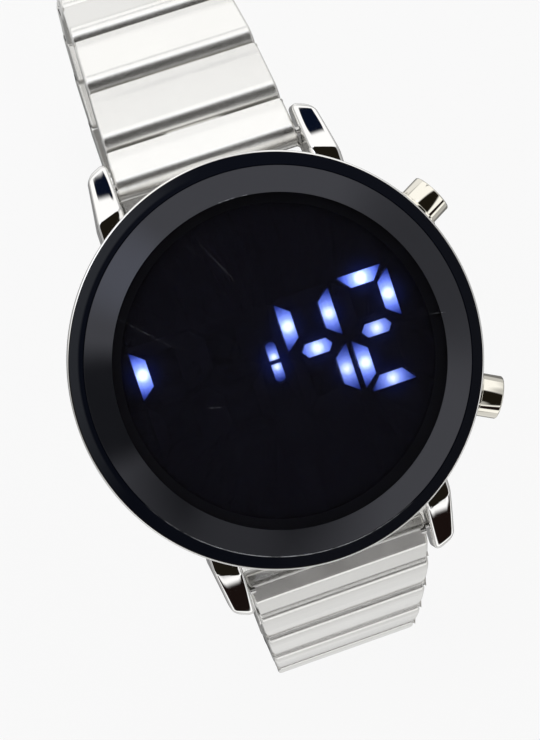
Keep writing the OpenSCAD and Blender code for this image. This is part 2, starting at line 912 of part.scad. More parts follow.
module clasp_cover() {
    edge = 0.25;
    start = -0.5;
    ramp = 1.2;
    lip = 0.4 * cover_t;
    ear_r = tongue_r + 0.25;
    ear_back = 0.3;
    toe = 0.8;
    top = cover_z + cover_t;
    color(steel)
    at_clasp()
        difference() {
            union() {
                across(clasp_w)
                    polygon([[start, cover_z], [cover_end, cover_z], [cover_end, top - edge],
                             [cover_end - edge, top], [start + ramp, top], [start, cover_z + lip]]);
                for (mx = [0, 1])
                    mirror([mx, 0, 0])
                        translate([clasp_w / 2 - skirt_t / 2, 0, 0])
                            across(skirt_t) {
                                circle(r = ear_r, $fn = fine);
                                polygon([[0, skirt_low], [skirt_end - toe, skirt_low], [skirt_end, 0],
                                         [skirt_end, cover_z], [-tongue_r + ear_back, cover_z],
                                         [-tongue_r, 0]]);
                            }
            }
            rod(pin_d / 2 + press_fit, big);
            translate([0, hinge_a, 0])
                rod(pin_d / 2 + press_fit, big);
        }
}

module clasp_spring_bar() {
    color("#b4b6b8")
    at_clasp()
        rod(pin_d / 2, clasp_w - 2 * pin_inset);
}

module cover_hinge_pin() {
    color("#b4b6b8")
    at_clasp()
        translate([0, hinge_a, 0])
            rod(pin_d / 2, clasp_w - 2 * pin_inset);
}

module blade_hinge_pin() {
    color("#b4b6b8")
    at_clasp()
        translate([0, hinge_front, fold_z])
            rod(pin_d / 2, blade_w - 2 * pin_inset);
}

module middle_blade() {
    color(dull_steel)
    at_clasp()
        difference() {
            union() {
                across(blade_w) {
                    translate([hinge_a, 0])
                        circle(r = knuckle_r, $fn = fine);
                    translate([hinge_front - knuckle_r, 0])
                        square([hinge_a - hinge_front + knuckle_r, blade_t]);
                }
                across(knuckle_w) {
                    translate([hinge_front, fold_z])
                        circle(r = knuckle_r, $fn = fine);
                    translate([hinge_front - knuckle_r, fold_z])
                        square([2 * knuckle_r, blade_t / 2 - fold_z]);
                }
            }
            translate([0, hinge_a, 0])
                rod(pin_d / 2 + run_fit, big);
            translate([0, hinge_front, fold_z])
                rod(pin_d / 2 + run_fit, big);
        }
}

module inner_blade() {
    mid = -clasp_drop;
    plate_end = clasp_len - hook_r - 0.2;
    arm_l = 0.8;
    tongue_clear = 0.25;
    mouth_from = -25;
    mouth_to = 115;
    mouth_mid = (mouth_from + mouth_to) / 2;
    color(dull_steel)
    at_clasp()
        difference() {
            union() {
                across(blade_w) {
                    translate([hinge_front, fold_z])
                        circle(r = knuckle_r, $fn = fine);
                    translate([hinge_front, mid - blade_t / 2])
                        square([plate_end - hinge_front, blade_t]);
                }
                across(hook_pin_l)
                    translate([clasp_len, mid]) {
                        circle(r = hook_r, $fn = fine);
                        translate([-hook_r - arm_l, -blade_t / 2])
                            square([arm_l + hook_wall, blade_t]);
                    }
            }
            // room for the middle blade's knuckle
            across(knuckle_w + 2 * side_gap)
                translate([0, mid - 2 * knuckle_r])
                    square([hinge_front + knuckle_r + side_gap, 4 * knuckle_r]);
            // room for the tongue of the last slat
            across(tongue_w + 2 * side_gap)
                translate([clasp_len, mid])
                    circle(r = hook_r + tongue_clear, $fn = fine);
            translate([0, hinge_front, fold_z])
                rod(pin_d / 2 + press_fit, big);
            // the hook's mouth, through which its bar leaves
            across(big)
                translate([clasp_len, mid]) {
                    circle(r = pin_d / 2 + run_fit, $fn = fine);
                    polygon([[0, 0], big * [cos(mouth_from), sin(mouth_from)],
                             big * [cos(mouth_mid), sin(mouth_mid)], big * [cos(mouth_to), sin(mouth_to)]]);
                }
        }
}

case();
bezel();
crystal();
crystal_gasket();
dark_filter();
display_block();
lit_bars();
dark_bars();
led_dies();
circuit_board();
controller_chip();
quartz_can();
coin_cell();
cell_contact_plus();
cell_contact_minus();
movement_ring();
case_back();
case_back_gasket();
case_back_screws();
pusher(1);  // pusher_upper
pusher(-1);  // pusher_lower
pusher_tube(1);  // pusher_tube_upper
pusher_tube(-1);  // pusher_tube_lower
pusher_spring(1);  // pusher_spring_upper
pusher_spring(-1);  // pusher_spring_lower
pusher_seal(1);  // pusher_seal_upper
pusher_seal(-1);  // pusher_seal_lower
pusher_clip(1);  // pusher_clip_upper
pusher_clip(-1);  // pusher_clip_lower
switch_leaf(1);  // switch_upper
switch_leaf(-1);  // switch_lower
spring_bar(1);  // spring_bar_12
spring_bar(-1);  // spring_bar_6
end_link(1, slopes_12);  // end_link_12
end_link(-1, slopes_6);  // end_link_6
for (i = [1 : len(slopes_12) - 1])
    slat(1, slopes_12, i);
for (i = [1 : len(slopes_6) - 1])
    slat(-1, slopes_6, i);
clasp_cover();
clasp_spring_bar();
middle_blade();
inner_blade();
cover_hinge_pin();
blade_hinge_pin();
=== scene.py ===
# %% [markdown]
# # A round LED wristwatch
# The watch is a short polished case with four lugs, a black bezel, a dark crystal with a wide
# bevel over glowing bar digits, two pushers and a tapering bracelet of overlapping slats.
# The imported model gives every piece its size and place. This script dresses it: it gives each
# surface its finish, remakes the pieces whose edges and curves the eye follows, and lights them.

# %% Load the frame
import json
import math

import bmesh
import bpy
from mathutils import Matrix, Vector


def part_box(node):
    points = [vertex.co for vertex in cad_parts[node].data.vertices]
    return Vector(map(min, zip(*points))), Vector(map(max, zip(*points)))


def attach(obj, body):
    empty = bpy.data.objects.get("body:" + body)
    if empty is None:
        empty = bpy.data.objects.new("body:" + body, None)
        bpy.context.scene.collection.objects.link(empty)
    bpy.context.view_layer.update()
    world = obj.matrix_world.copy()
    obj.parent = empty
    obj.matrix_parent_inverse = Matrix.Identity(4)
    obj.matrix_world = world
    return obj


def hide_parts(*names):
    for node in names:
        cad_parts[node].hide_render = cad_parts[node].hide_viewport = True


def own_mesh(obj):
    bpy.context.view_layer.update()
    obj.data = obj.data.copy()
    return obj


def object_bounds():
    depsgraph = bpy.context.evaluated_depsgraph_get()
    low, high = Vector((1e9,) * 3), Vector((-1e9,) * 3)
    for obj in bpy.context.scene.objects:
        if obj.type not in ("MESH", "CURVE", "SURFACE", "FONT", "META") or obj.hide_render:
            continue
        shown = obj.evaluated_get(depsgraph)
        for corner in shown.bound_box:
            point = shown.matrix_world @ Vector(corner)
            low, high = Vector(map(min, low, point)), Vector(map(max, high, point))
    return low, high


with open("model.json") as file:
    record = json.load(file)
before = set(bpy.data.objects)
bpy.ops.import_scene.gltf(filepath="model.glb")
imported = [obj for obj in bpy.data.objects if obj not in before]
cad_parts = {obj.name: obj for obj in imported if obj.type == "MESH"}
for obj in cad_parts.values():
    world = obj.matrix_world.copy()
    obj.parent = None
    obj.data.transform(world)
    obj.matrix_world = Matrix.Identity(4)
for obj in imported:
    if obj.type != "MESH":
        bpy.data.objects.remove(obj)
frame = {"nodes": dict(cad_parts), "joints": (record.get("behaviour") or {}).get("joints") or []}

MM = 0.001
nodes = frame["nodes"]
joints = {joint["name"]: joint for joint in frame["joints"]}
cad_low, cad_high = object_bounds()

# %% [markdown]
# The camera comes first, because every finish is judged through it. The watch is seen from
# nearly straight above, turned by some 19 degrees and tipped a little, from about 19 cm. Its
# place follows from those three turns and the distance, so it is worked out from them rather
# than typed as a point. The lens is long, so the case keeps its round outline.

# %% Camera
view_turn = 18.68
view_tilt_side = 6.0
view_tilt_up = 3.79
view_distance = 190 * MM
view_shift = Vector((0.86, 0.93, 0)) * MM
aim_height = 7.6 * MM
focal_pixels = 1883
image_height = 740
sensor = 36

to_view = (
    Matrix.Rotation(math.radians(view_turn), 3, "Z")
    @ Matrix.Rotation(math.radians(view_tilt_side), 3, "Y")
    @ Matrix.Rotation(math.radians(view_tilt_up), 3, "X")
)
from_view = to_view.transposed()
eye = from_view @ (Vector((0, 0, view_distance)) - view_shift) + Vector((0, 0, aim_height))
camera_data = bpy.data.cameras.new("camera")
camera_data.sensor_width = sensor
camera_data.lens = sensor * focal_pixels / image_height
camera_data.clip_start = 0.01
camera = bpy.data.objects.new("camera", camera_data)
camera.matrix_world = Matrix.Translation(eye) @ from_view.to_4x4()
bpy.context.scene.collection.objects.link(camera)
bpy.context.scene.camera = camera
print("eye", [round(v / MM, 1) for v in eye], "mm, lens", round(camera_data.lens, 1), "mm")

# %% [markdown]
# Materials and the studio are both built of shader nodes. One small helper adds a node, sets
# its options and fills its sockets, either with a plain value or with a link from another node.
# Colours are written as the hex values that a colour picker shows, and turned to linear light.

# %% Helpers for nodes and colours
def linear(hex_colour, level=1.0):
    """The linear RGBA value of an sRGB hex colour, times a level."""
    channels = [int(hex_colour[i : i + 2], 16) / 255 for i in (1, 3, 5)]
    straight = [c / 12.92 if c <= 0.04045 else ((c + 0.055) / 1.055) ** 2.4 for c in channels]
    return tuple(c * level for c in straight) + (1,)


def add(tree, kind, sockets=None, **settings):
    """Adds one shader node. sockets maps the name or number of an input to a value, to another
    node's output, or to another node, which then gives its first output."""
    node = tree.nodes.new("ShaderNode" + kind)
    for name, value in settings.items():
        setattr(node, name, value)
    for name, value in (sockets or {}).items():
        if isinstance(value, bpy.types.Node):
            value = value.outputs[0]
        if isinstance(value, bpy.types.NodeSocket):
            tree.links.new(value, node.inputs[name])
        else:
            node.inputs[name].default_value = value
    return node


def new_material(name, **surface):
    """A material with one Principled shader, whose sockets surface sets, with _ for a space. Its
    patterns are laid out by place, the object's own coordinates."""
    material = bpy.data.materials.new(name)
    material.use_nodes = True
    shader = material.node_tree.nodes["Principled BSDF"]
    for socket, value in surface.items():
        shader.inputs[socket.replace("_", " ")].default_value = value
    place = add(material.node_tree, "TexCoord").outputs["Object"]
    return material, material.node_tree, shader, place


# The Mix node has like-named sockets for each data type, so its colour sockets go by number
MIX_A, MIX_B, MIX_OUT = 6, 7, 2
print("a #808080 grey is", round(linear("#808080")[0], 3), "in linear light")

# %% [markdown]
# The studio is a white tent on a white table. Polished steel has no colour of its own: it shows
# the room, so what stands round the watch matters more than the lamps. The camera's dark hood
# leans in from six o'clock and fills the middle of the sky. There are two dark slits, a gap in
# the tent above twelve o'clock and the table's edge beyond six. A softbox stands at the upper
# left, a dark screen left of it, and the right side is a little dimmer. Low down at three and
# nine o'clock the tent is open to a dim room, which gives the steel's sides their shading. All
# could be real cards, but those would hide the watch from aside. So they are soft-edged patches
# in the world's shader. A patch is wherever a ray's direction is near enough to one direction.

# %% Patches of the tent
world = bpy.data.worlds.new("white_tent")
bpy.context.scene.world = world
world.use_nodes = True
sky = world.node_tree
sky.nodes.clear()


def direction(azimuth, polar):
    """A unit vector: azimuth from +X towards +Y, polar down from +Z, in degrees."""
    a, p = math.radians(azimuth), math.radians(polar)
    return Vector((math.cos(a) * math.sin(p), math.sin(a) * math.sin(p), math.cos(p)))


def patch(below, towards, half_angle, softness, colour, squeeze):
    """Lays a soft-edged patch over the sky colour below. A squeeze under 1 widens it along X."""
    ray = add(sky, "TexCoord").outputs["Generated"]
    narrow = add(sky, "VectorMath", {0: ray, 1: (squeeze, 1, 1)}, operation="MULTIPLY")
    unit = add(sky, "VectorMath", {0: narrow}, operation="NORMALIZE")
    near = add(sky, "VectorMath", {0: unit, 1: towards}, operation="DOT_PRODUCT")
    share = add(sky, "MapRange", {
        "Value": near.outputs["Value"],
        "From Min": math.cos(math.radians(half_angle + softness)),
        "From Max": math.cos(math.radians(half_angle - softness))}, interpolation_type="SMOOTHSTEP")
    mix = add(sky, "Mix", {"Factor": share, MIX_A: below, MIX_B: colour}, data_type="RGBA")
    return mix.outputs[MIX_OUT]


print("straight up is", [round(v, 2) for v in direction(0, 0)])

# %% [markdown]
# The patches are laid one over another, in the order of the list, on a tent that is a shade
# brighter than plain white. The camera itself sees pure white behind the watch.

# %% Studio
tent_level = 1.17
# azimuth, polar, half angle and softness in degrees, colour and its level, squeeze
tent_patches = [
    (0, 90, 34, 12, "#ffffff", 0.4, 1.0),  # open side at three o'clock
    (180, 90, 34, 12, "#ffffff", 0.4, 1.0),  # open side at nine o'clock
    (10, 50, 16, 11, "#ffffff", 0.58, 1.0),  # dimmer right side
    (128, 34, 9, 6, "#f2f6ff", 2.0, 1.0),  # softbox
    (182, 37, 13, 4, "#ffffff", 0.08, 1.0),  # dark screen
    (-86, 67, 10, 2, "#1a1210", 1.0, 0.11),  # edge of the table
    (82, 61, 7.5, 1.5, "#0a1122", 1.0, 0.75),  # gap in the tent
    (-90, 13, 38, 4, "#1c1913", 1.0, 1.0),  # hood
    (-112, 43, 9, 6, "#ffffff", 0.5, 1.0),  # pale corner of the hood
]
tent = linear("#ffffff", tent_level)
for azimuth, polar, half_angle, softness, colour, level, squeeze in tent_patches:
    tent = patch(tent, direction(azimuth, polar), half_angle, softness, linear(colour, level), squeeze)
tent_light = add(sky, "Background", {"Color": tent, "Strength": 1.0})
camera_white = add(sky, "Background", {"Color": linear("#ffffff"), "Strength": 1.0})
seen = add(sky, "LightPath")
choice = add(sky, "MixShader", {0: seen.outputs["Is Camera Ray"], 1: tent_light, 2: camera_white})
add(sky, "OutputWorld", {"Surface": choice})
bpy.context.scene.view_settings.view_transform = "Standard"
print("sky nodes", len(sky.nodes))

# %% [markdown]
# The table is a white sheet just under the clasp, on which the closed bracelet stands. A plain
# square is enough, since the camera sees only its tone and the watch's shadow on it.

# %% Table
table_side = 1.2
table_mesh = bpy.data.meshes.new("table")
half = table_side / 2
table_gap = 0.02 * MM
table_z = cad_low.z - table_gap
table_mesh.from_pydata(
    [(-half, -half, table_z), (half, -half, table_z), (half, half, table_z), (-half, half, table_z)],
    [], [(0, 1, 2, 3)])
table = bpy.data.objects.new("table", table_mesh)
bpy.context.scene.collection.objects.link(table)
print("table at", round(table_z / MM, 2), "mm")

# %% [markdown]
# The sheet is matt white paper. It keeps the watch's shadow, and is lifted towards white where
# the camera or a mirror sees it. In the mirror of the steel it darkens towards the watch, whose
# bracelet keeps the light off it, and a little to both sides and beyond six o'clock, where the
# tent is open. Lamps could shade the sheet like that too, but they would also light the watch.

# %% White paper
lifted_share = 0.89
shade_start, shade_end, shade_level = 36 * MM, 60 * MM, 0.22
aside_start, aside_end, aside_level = 25 * MM, 65 * MM, 0.62
front_start, front_end, front_level = -45 * MM, -75 * MM, 0.78


def white_paper():
    """White paper that the camera and mirrors see lifted. The factors say how far in a mirror."""
    material, tree, shader, place = new_material(
        "white_paper", Base_Color=linear("#fcfcfc"), Roughness=0.9)
    path = add(tree, "LightPath")
    is_camera, is_glossy = path.outputs["Is Camera Ray"], path.outputs["Is Glossy Ray"]
    lift = add(tree, "Math", {0: is_camera, 1: is_glossy}, operation="MAXIMUM")
    lift = add(tree, "Math", {0: lift, 1: lifted_share}, operation="MULTIPLY")
    squeezed = add(tree, "VectorMath", {0: place, 1: (0.3, 1, 0)}, operation="MULTIPLY")
    reach = add(tree, "VectorMath", {0: squeezed}, operation="LENGTH")
    far = add(tree, "MapRange", {
        "Value": reach.outputs["Value"], "From Min": shade_start, "From Max": shade_end,
        "To Min": shade_level, "To Max": 1.0}, interpolation_type="SMOOTHSTEP")
    axes = add(tree, "SeparateXYZ", {"Vector": place})
    off_middle = add(tree, "Math", {0: axes.outputs["X"]}, operation="ABSOLUTE")
    aside = add(tree, "MapRange", {
        "Value": off_middle, "From Min": aside_start, "From Max": aside_end,
        "To Min": 1.0, "To Max": aside_level})
    front = add(tree, "MapRange", {
        "Value": axes.outputs["Y"], "From Min": front_end, "From Max": front_start,
        "To Min": front_level, "To Max": 1.0})
    level = add(tree, "Math", {0: far, 1: aside}, operation="MULTIPLY")
    level = add(tree, "Math", {0: level, 1: front}, operation="MULTIPLY")
    glow = add(tree, "Mix", {"Factor": is_glossy, "A": 1.0, "B": level})
    white = add(tree, "Emission", {"Color": linear("#ffffff"), "Strength": glow})
    mix = add(tree, "MixShader", {0: lift, 1: shader, 2: white})
    tree.links.new(mix.outputs[0], tree.nodes["Material Output"].inputs["Surface"])
    return material


paper = white_paper()
table_mesh.materials.append(paper)
print("paper", paper.name)

# %% [markdown]
# The case, the lugs and the pushers are stainless steel, ground and then polished on a cloth
# wheel. That leaves a mirror with a faint haze and hairlines that only show in a highlight. The
# pushers are nickel-plated and a little warmer. The pins and springs are turned or drawn, and
# keep fine rings. All come from one recipe, a metal whose roughness drifts a little, with
# hairlines as bump.

# %% Polished and turned steel
def vary_roughness(tree, shader, place, grain, low, high, detail=3.0):
    """Lets the roughness drift from low to high over a noise of the given grain, in millimetres."""
    cloud = add(tree, "TexNoise", {"Vector": place, "Scale": 1 / (grain * MM), "Detail": detail})
    drift = add(tree, "MapRange", {"Value": cloud, "To Min": low, "To Max": high})
    tree.links.new(drift.outputs["Result"], shader.inputs["Roughness"])
    return cloud


def hairlines(tree, place, width, length, detail):
    """A noise drawn out into hairs of that width along X, in millimetres."""
    across, along = 1 / (width * MM), 1 / (length * MM)
    drawn = add(tree, "VectorMath", {0: place, 1: (across, along, along)}, operation="MULTIPLY")
    return add(tree, "TexNoise", {"Vector": drawn, "Scale": 1.0, "Detail": detail})


def steel(name, colour, roughness, haze, hair_width, hair_length, hair_depth):
    """Polished or turned steel. Widths, lengths and depths are millimetres on the real piece."""
    material, tree, shader, place = new_material(name, Base_Color=linear(colour), Metallic=1.0)
    hairs = hairlines(tree, place, hair_width, hair_length, 3.0)
    vary_roughness(tree, shader, place, 3, roughness - haze, roughness + haze, detail=2.0)
    bump = add(tree, "Bump", {"Distance": hair_depth * MM, "Height": hairs})
    tree.links.new(bump.outputs["Normal"], shader.inputs["Normal"])
    return material


polished_steel = steel("polished_stainless_steel", "#efeeec", 0.04, 0.02, 0.05, 2.0, 0.0002)
warm_steel = steel("polished_nickel_steel", "#ece8dc", 0.05, 0.02, 0.05, 2.0, 0.0002)
turned_steel = steel("turned_stainless_steel", "#d6d5d3", 0.2, 0.04, 0.3, 0.05, 0.001)
print("steels", polished_steel.name, warm_steel.name, turned_steel.name)

# %% [markdown]
# The bracelet is brushed lengthwise with a fine belt, then lightly buffed. Each hair is a tiny
# groove along the bracelet, so it spreads what the steel mirrors sideways but not lengthwise.
# That is why the slats' noses mirror the dark middle of the sky as a soft grey band. Most hairs
# are far finer than a pixel. They tilt the surface's normal at random from point to point, and
# a few coarser ones, some 0.06 mm wide, add the streaks that an eye can follow.

# %% Brushed steel
def brushed_steel(name, colour, roughness, hair_width, hair_length, fine_spread, coarse_spread):
    """Steel brushed along Y. The spreads are how far the hairs tilt the normal to either side."""
    material, tree, shader, place = new_material(name, Base_Color=linear(colour), Metallic=1.0)
    hairs = hairlines(tree, place, hair_width, hair_length, 2.0)
    coarse = add(tree, "MapRange", {
        "Value": hairs, "From Min": 0.2, "From Max": 0.8,
        "To Min": -coarse_spread, "To Max": coarse_spread})
    grit = add(tree, "TexWhiteNoise", {"Vector": place})
    grit_sum = add(tree, "VectorMath", {
        0: grit.outputs["Color"], 1: (1, 1, 1)}, operation="DOT_PRODUCT")
    fine = add(tree, "MapRange", {
        "Value": grit_sum.outputs["Value"], "From Min": 0.0, "From Max": 3.0,
        "To Min": -fine_spread, "To Max": fine_spread})
    tilt = add(tree, "Math", {0: fine, 1: coarse}, operation="ADD")
    sideways = add(tree, "CombineXYZ", {"X": tilt})
    facing = add(tree, "NewGeometry").outputs["Normal"]
    tilted = add(tree, "VectorMath", {0: facing, 1: sideways}, operation="ADD")
    normal = add(tree, "VectorMath", {0: tilted}, operation="NORMALIZE")
    tree.links.new(normal.outputs["Vector"], shader.inputs["Normal"])
    vary_roughness(tree, shader, place, 4, 0.8 * roughness, 1.2 * roughness, detail=2.0)
    return material


satin_steel = brushed_steel("brushed_stainless_steel", "#f0efec", 0.22, 0.06, 5.0, 0.66, 0.07)
print("brushed steel", satin_steel.name)

# %% [markdown]
# The bezel is steel under a black vapour-deposited coat, polished before coating. It is a dark
# mirror with a cold tint, and a painted reflection makes its slope greyer towards ten o'clock.
# Along its inner edge a hair-thin painted highlight is laid on the colour, broken up in places.

# %% Black coated bezel
bezel_low, bezel_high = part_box("bezel")
bezel_r = bezel_high.x / MM
bezel_slope_w = 1.3
# the band of the slope that carries the painted reflection
sheen_band_in, sheen_band_out = bezel_r - 0.95, bezel_r - 0.75
# the line along the inner edge that carries the painted highlight
highlight_edge_r = bezel_r - bezel_slope_w
highlight_half_w = 0.03


def black_coat():
    """The coat over the bezel, with a painted reflection at ten o'clock and a painted highlight below.
    """
    material, tree, shader, place = new_material(
        "black_vapour_coated_steel", Roughness=0.15, IOR=1.5, Specular_IOR_Level=0.012)
    vary_roughness(tree, shader, place, 0.6, 0.1, 0.2, detail=4.0)

    # the painted reflection: how far a point looks towards ten o'clock, and how far out it is
    flat = add(tree, "VectorMath", {0: place, 1: (1, 1, 0)}, operation="MULTIPLY")
    unit = add(tree, "VectorMath", {0: flat}, operation="NORMALIZE")
    radius = add(tree, "VectorMath", {0: flat}, operation="LENGTH")
    ten = add(tree, "VectorMath", {0: unit, 1: direction(150, 90)}, operation="DOT_PRODUCT")
    sheen_side = add(tree, "MapRange", {
        "Value": ten.outputs["Value"], "From Min": 0.55, "From Max": 0.95},
        interpolation_type="SMOOTHSTEP")
    outer = add(tree, "MapRange", {
        "Value": radius.outputs["Value"],
        "From Min": sheen_band_in * MM, "From Max": sheen_band_out * MM})
    painted_sheen = add(tree, "Math", {0: sheen_side, 1: outer}, operation="MULTIPLY")
    coat = add(tree, "Mix", {
        "Factor": painted_sheen, MIX_A: linear("#0a0d17"), MIX_B: linear("#303237")}, data_type="RGBA")

    # a painted highlight along the inner edge, most of all between six and seven o'clock
    six = add(tree, "VectorMath", {0: unit, 1: direction(252, 90)}, operation="DOT_PRODUCT")
    low_side = add(tree, "MapRange", {
        "Value": six.outputs["Value"], "From Min": 0.72, "From Max": 0.97})
    edge = add(tree, "MapRange", {
        "Value": radius.outputs["Value"], "From Min": (highlight_edge_r + highlight_half_w) * MM,
        "From Max": (highlight_edge_r - highlight_half_w) * MM})
    spots = add(tree, "TexNoise", {"Vector": place, "Scale": 1 / (1.5 * MM), "Detail": 4.0})
    highlight_breaks = add(tree, "MapRange", {"Value": spots, "From Min": 0.35, "From Max": 0.55})
    highlight_side = add(tree, "Math", {0: low_side, 1: edge}, operation="MULTIPLY")
    painted_highlight = add(tree, "Math", {0: highlight_side, 1: highlight_breaks}, operation="MULTIPLY")
    colour = add(tree, "Mix", {
        "Factor": painted_highlight, MIX_A: coat.outputs[MIX_OUT], MIX_B: linear("#d8dade")}, data_type="RGBA")
    tree.links.new(colour.outputs[MIX_OUT], shader.inputs["Base Color"])
    return material


bezel_coat = black_coat()
print("bezel coat", bezel_coat.name)

# %% [markdown]
# Worn glass has a few hairline scratches on its flat and small chips along an edge. They could
# be cut into the mesh, but are far too thin for that. So a scratch is a line between two points,
# and where the surface is near that line a whitish roughness covers the glass.

# %% Scratches and chips
# start and end in millimetres from the middle, and half the width
bevel_scratch = ((14.6, 0.0), (17.4, -0.6), 0.035)
scratches = [
    ((-4.1, 13.6), (-1.9, 9.1), 0.045), ((-5.4, 13.9), (-4.2, 12.1), 0.025),
    ((-14.4, 9.5), (-10.0, 4.9), 0.045), ((-9.7, 4.8), (-8.3, 3.9), 0.025),
    bevel_scratch, ((-8.4, -2.1), (-7.2, -2.4), 0.04),
]
chips = [
    ((-1.0, 16.85), (0.7, 16.87), 0.07), ((1.3, 16.8), (1.9, 16.76), 0.05),
    ((-14.7, 8.2), (-14.9, 7.9), 0.06),
]


def near_line(tree, place, start, end, half_width):
    """1 near the line from start to end, falling to 0 at its half width. All in millimetres."""
    a = Vector((start[0], start[1], 0)) * MM
    run = Vector((end[0], end[1], 0)) * MM - a
    from_a = add(tree, "VectorMath", {0: place, 1: a}, operation="SUBTRACT")
    level = add(tree, "VectorMath", {0: from_a, 1: (1, 1, 0)}, operation="MULTIPLY")
    along = add(tree, "VectorMath", {0: level, 1: run / run.length_squared}, operation="DOT_PRODUCT")
    held = add(tree, "Clamp", {"Value": along.outputs["Value"]})
    foot = add(tree, "VectorMath", {0: run, "Scale": held}, operation="SCALE")
    off = add(tree, "VectorMath", {0: level, 1: foot}, operation="DISTANCE")
    share = add(tree, "MapRange", {
        "Value": off.outputs["Value"], "From Min": half_width * MM, "From Max": 0.3 * half_width * MM})
    return share


def marks(tree, place, lines):
    """The lines together, broken up along their length by noise."""
    total = near_line(tree, place, *lines[0])
    for line in lines[1:]:
        total = add(tree, "Math", {0: total, 1: near_line(tree, place, *line)}, operation="MAXIMUM")
    grit = add(tree, "TexNoise", {"Vector": place, "Scale": 1 / (0.35 * MM), "Detail": 3.0})
    broken = add(tree, "MapRange", {"Value": grit, "From Min": 0.38, "From Max": 0.62})
    return add(tree, "Math", {0: total, 1: broken}, operation="MULTIPLY")


def scuffed(tree, clear_output, place, lines, strength):
    """Lays the marks over a shader as a thin whitish roughness, and plugs the result in."""
    frost = add(tree, "BsdfDiffuse", {"Color": linear("#c8ccd4")})
    share = add(tree, "Math", {0: marks(tree, place, lines), 1: strength}, operation="MULTIPLY")
    mix = add(tree, "MixShader", {0: share, 1: clear_output, 2: frost})
    tree.links.new(mix.outputs[0], tree.nodes["Material Output"].inputs["Surface"])


print("scratches", len(scratches), "chips", len(chips))

# %% [markdown]
# The crystal is smoked mineral glass. Its flat lets the digits through and is otherwise nearly
# black. The bevel is ground, polished and printed dark grey from behind, so it stays a shade
# lighter and a little blue. Print behind clear glass could be a piece of its own, but a dark
# gloss on the bevel's faces shows the same and has no gap to look into.

# %% Smoked glass and printed bevel
scratch_strength, chip_strength = 0.2, 0.5


def smoked_glass():
    """Clear glass with a grey tint, faint wipe marks and the scratches."""
    material, tree, shader, place = new_material(
        "smoked_mineral_glass", Base_Color=linear("#b4b6bf"), Roughness=0.0, IOR=1.52,
        Transmission_Weight=1.0)
    vary_roughness(tree, shader, place, 5, 0.0, 0.02, detail=4.0)
    scuffed(tree, shader, place, scratches, scratch_strength)
    return material


def printed_bevel():
    """Dark grey print under polished glass, with the chips along its inner edge."""
    material, tree, shader, place = new_material(
        "ground_bevel_printed_grey", Roughness=0.05, IOR=1.52,
        Specular_Tint=linear("#f0f1ff"))
    cloud = vary_roughness(tree, shader, place, 2.5, 0.03, 0.12)
    tone = add(tree, "Mix", {
        "Factor": cloud, MIX_A: linear("#15161a"), MIX_B: linear("#1a1b1f")}, data_type="RGBA")
    tree.links.new(tone.outputs[MIX_OUT], shader.inputs["Base Color"])
    scuffed(tree, shader, place, chips + [bevel_scratch], chip_strength)
    return material


crystal_glass = smoked_glass()
crystal_bevel = printed_bevel()
print("glass", crystal_glass.name, crystal_bevel.name)

# %% [markdown]
# The filter behind the crystal is a dark film. It hides the bars that are off, and it scatters a
# little of the light of those that are on, which is the blue haze round each digit. Its mesh
# carries that haze as a value at each point, worked out from the distance to the lit diodes.

# %% Filter film
haze_strength = 0.36


def filter_film():
    """A dark see-through film that glows where the mesh's haze value is above zero."""
    material, tree, shader, place = new_material(
        "dark_filter_film", Base_Color=linear("#575569"), Roughness=0.4, Alpha=0.6,
        Emission_Color=linear("#2f49c8"))
    vary_roughness(tree, shader, place, 0.3, 0.35, 0.5, detail=2.0)
    haze = add(tree, "Attribute", attribute_name="haze")
    bright = add(tree, "Math", {0: haze.outputs["Fac"], 1: haze_strength}, operation="MULTIPLY")
    tree.links.new(bright.outputs[0], shader.inputs["Emission Strength"])
    return material


film = filter_film()
print("film", film.name)

# %% [markdown]
# Inside lie plain working materials: moulded black plastic, a lacquered board, nickel-plated
# cell and can, gilt springs, clear resin dies and rubber seals. They share one recipe, a base
# colour and a roughness that a fine noise breaks up, with the grain of each in millimetres.

# %% Working materials
def grained(name, colour, low, high, grain, depth=0.0, **surface):
    """A surface whose roughness and height vary with a noise of the given grain, in millimetres."""
    material, tree, shader, place = new_material(name, Base_Color=linear(colour), **surface)
    noise = vary_roughness(tree, shader, place, grain, low, high)
    if depth:
        bump = add(tree, "Bump", {"Distance": depth * MM, "Height": noise})
        tree.links.new(bump.outputs["Normal"], shader.inputs["Normal"])
    return material


black_abs = grained("moulded_black_abs", "#0e0d12", 0.45, 0.6, 0.15, depth=0.004)
dark_diffuser = grained("unlit_acrylic_diffuser", "#0e0d12", 0.35, 0.5, 0.2)
led_resin = grained("clear_led_resin", "#e4e0b4", 0.15, 0.3, 0.3)
board_laminate = grained("lacquered_glass_laminate", "#1d4a33", 0.3, 0.5, 0.25, depth=0.004)
nickel_plate = grained("nickel_plated_steel", "#cfccc6", 0.18, 0.3, 0.8, Metallic=1.0)
back_print = grained("black_screen_print", "#1b1a26", 0.5, 0.6, 0.2)
gilt_bronze = grained("gilt_phosphor_bronze", "#d8b766", 0.2, 0.35, 0.4, Metallic=1.0)
nitrile_rubber = grained("moulded_nitrile_rubber", "#191919", 0.6, 0.75, 0.12, depth=0.004)
print("materials", len(bpy.data.materials))

# %% [markdown]
# Each lit bar is a well of milky acrylic with one diode under it. Close to the diode the light
# is white, and it falls off to a deep blue at the tips. The mesh carries, at each point, how
# far that point lies from its own diode, and the material turns that distance into light.

# %% Lit diffuser
glow_radius = 2.8
milky_low, milky_high = 10.0, 16.0
glow_middle, glow_tip = "#ffffff", "#070d30"
glow_between = [
    (0.12, "#cedfff"), (0.28, "#8195e5"), (0.5, "#5063b3"), (0.72, "#273579"), (0.88, "#101848"),
]


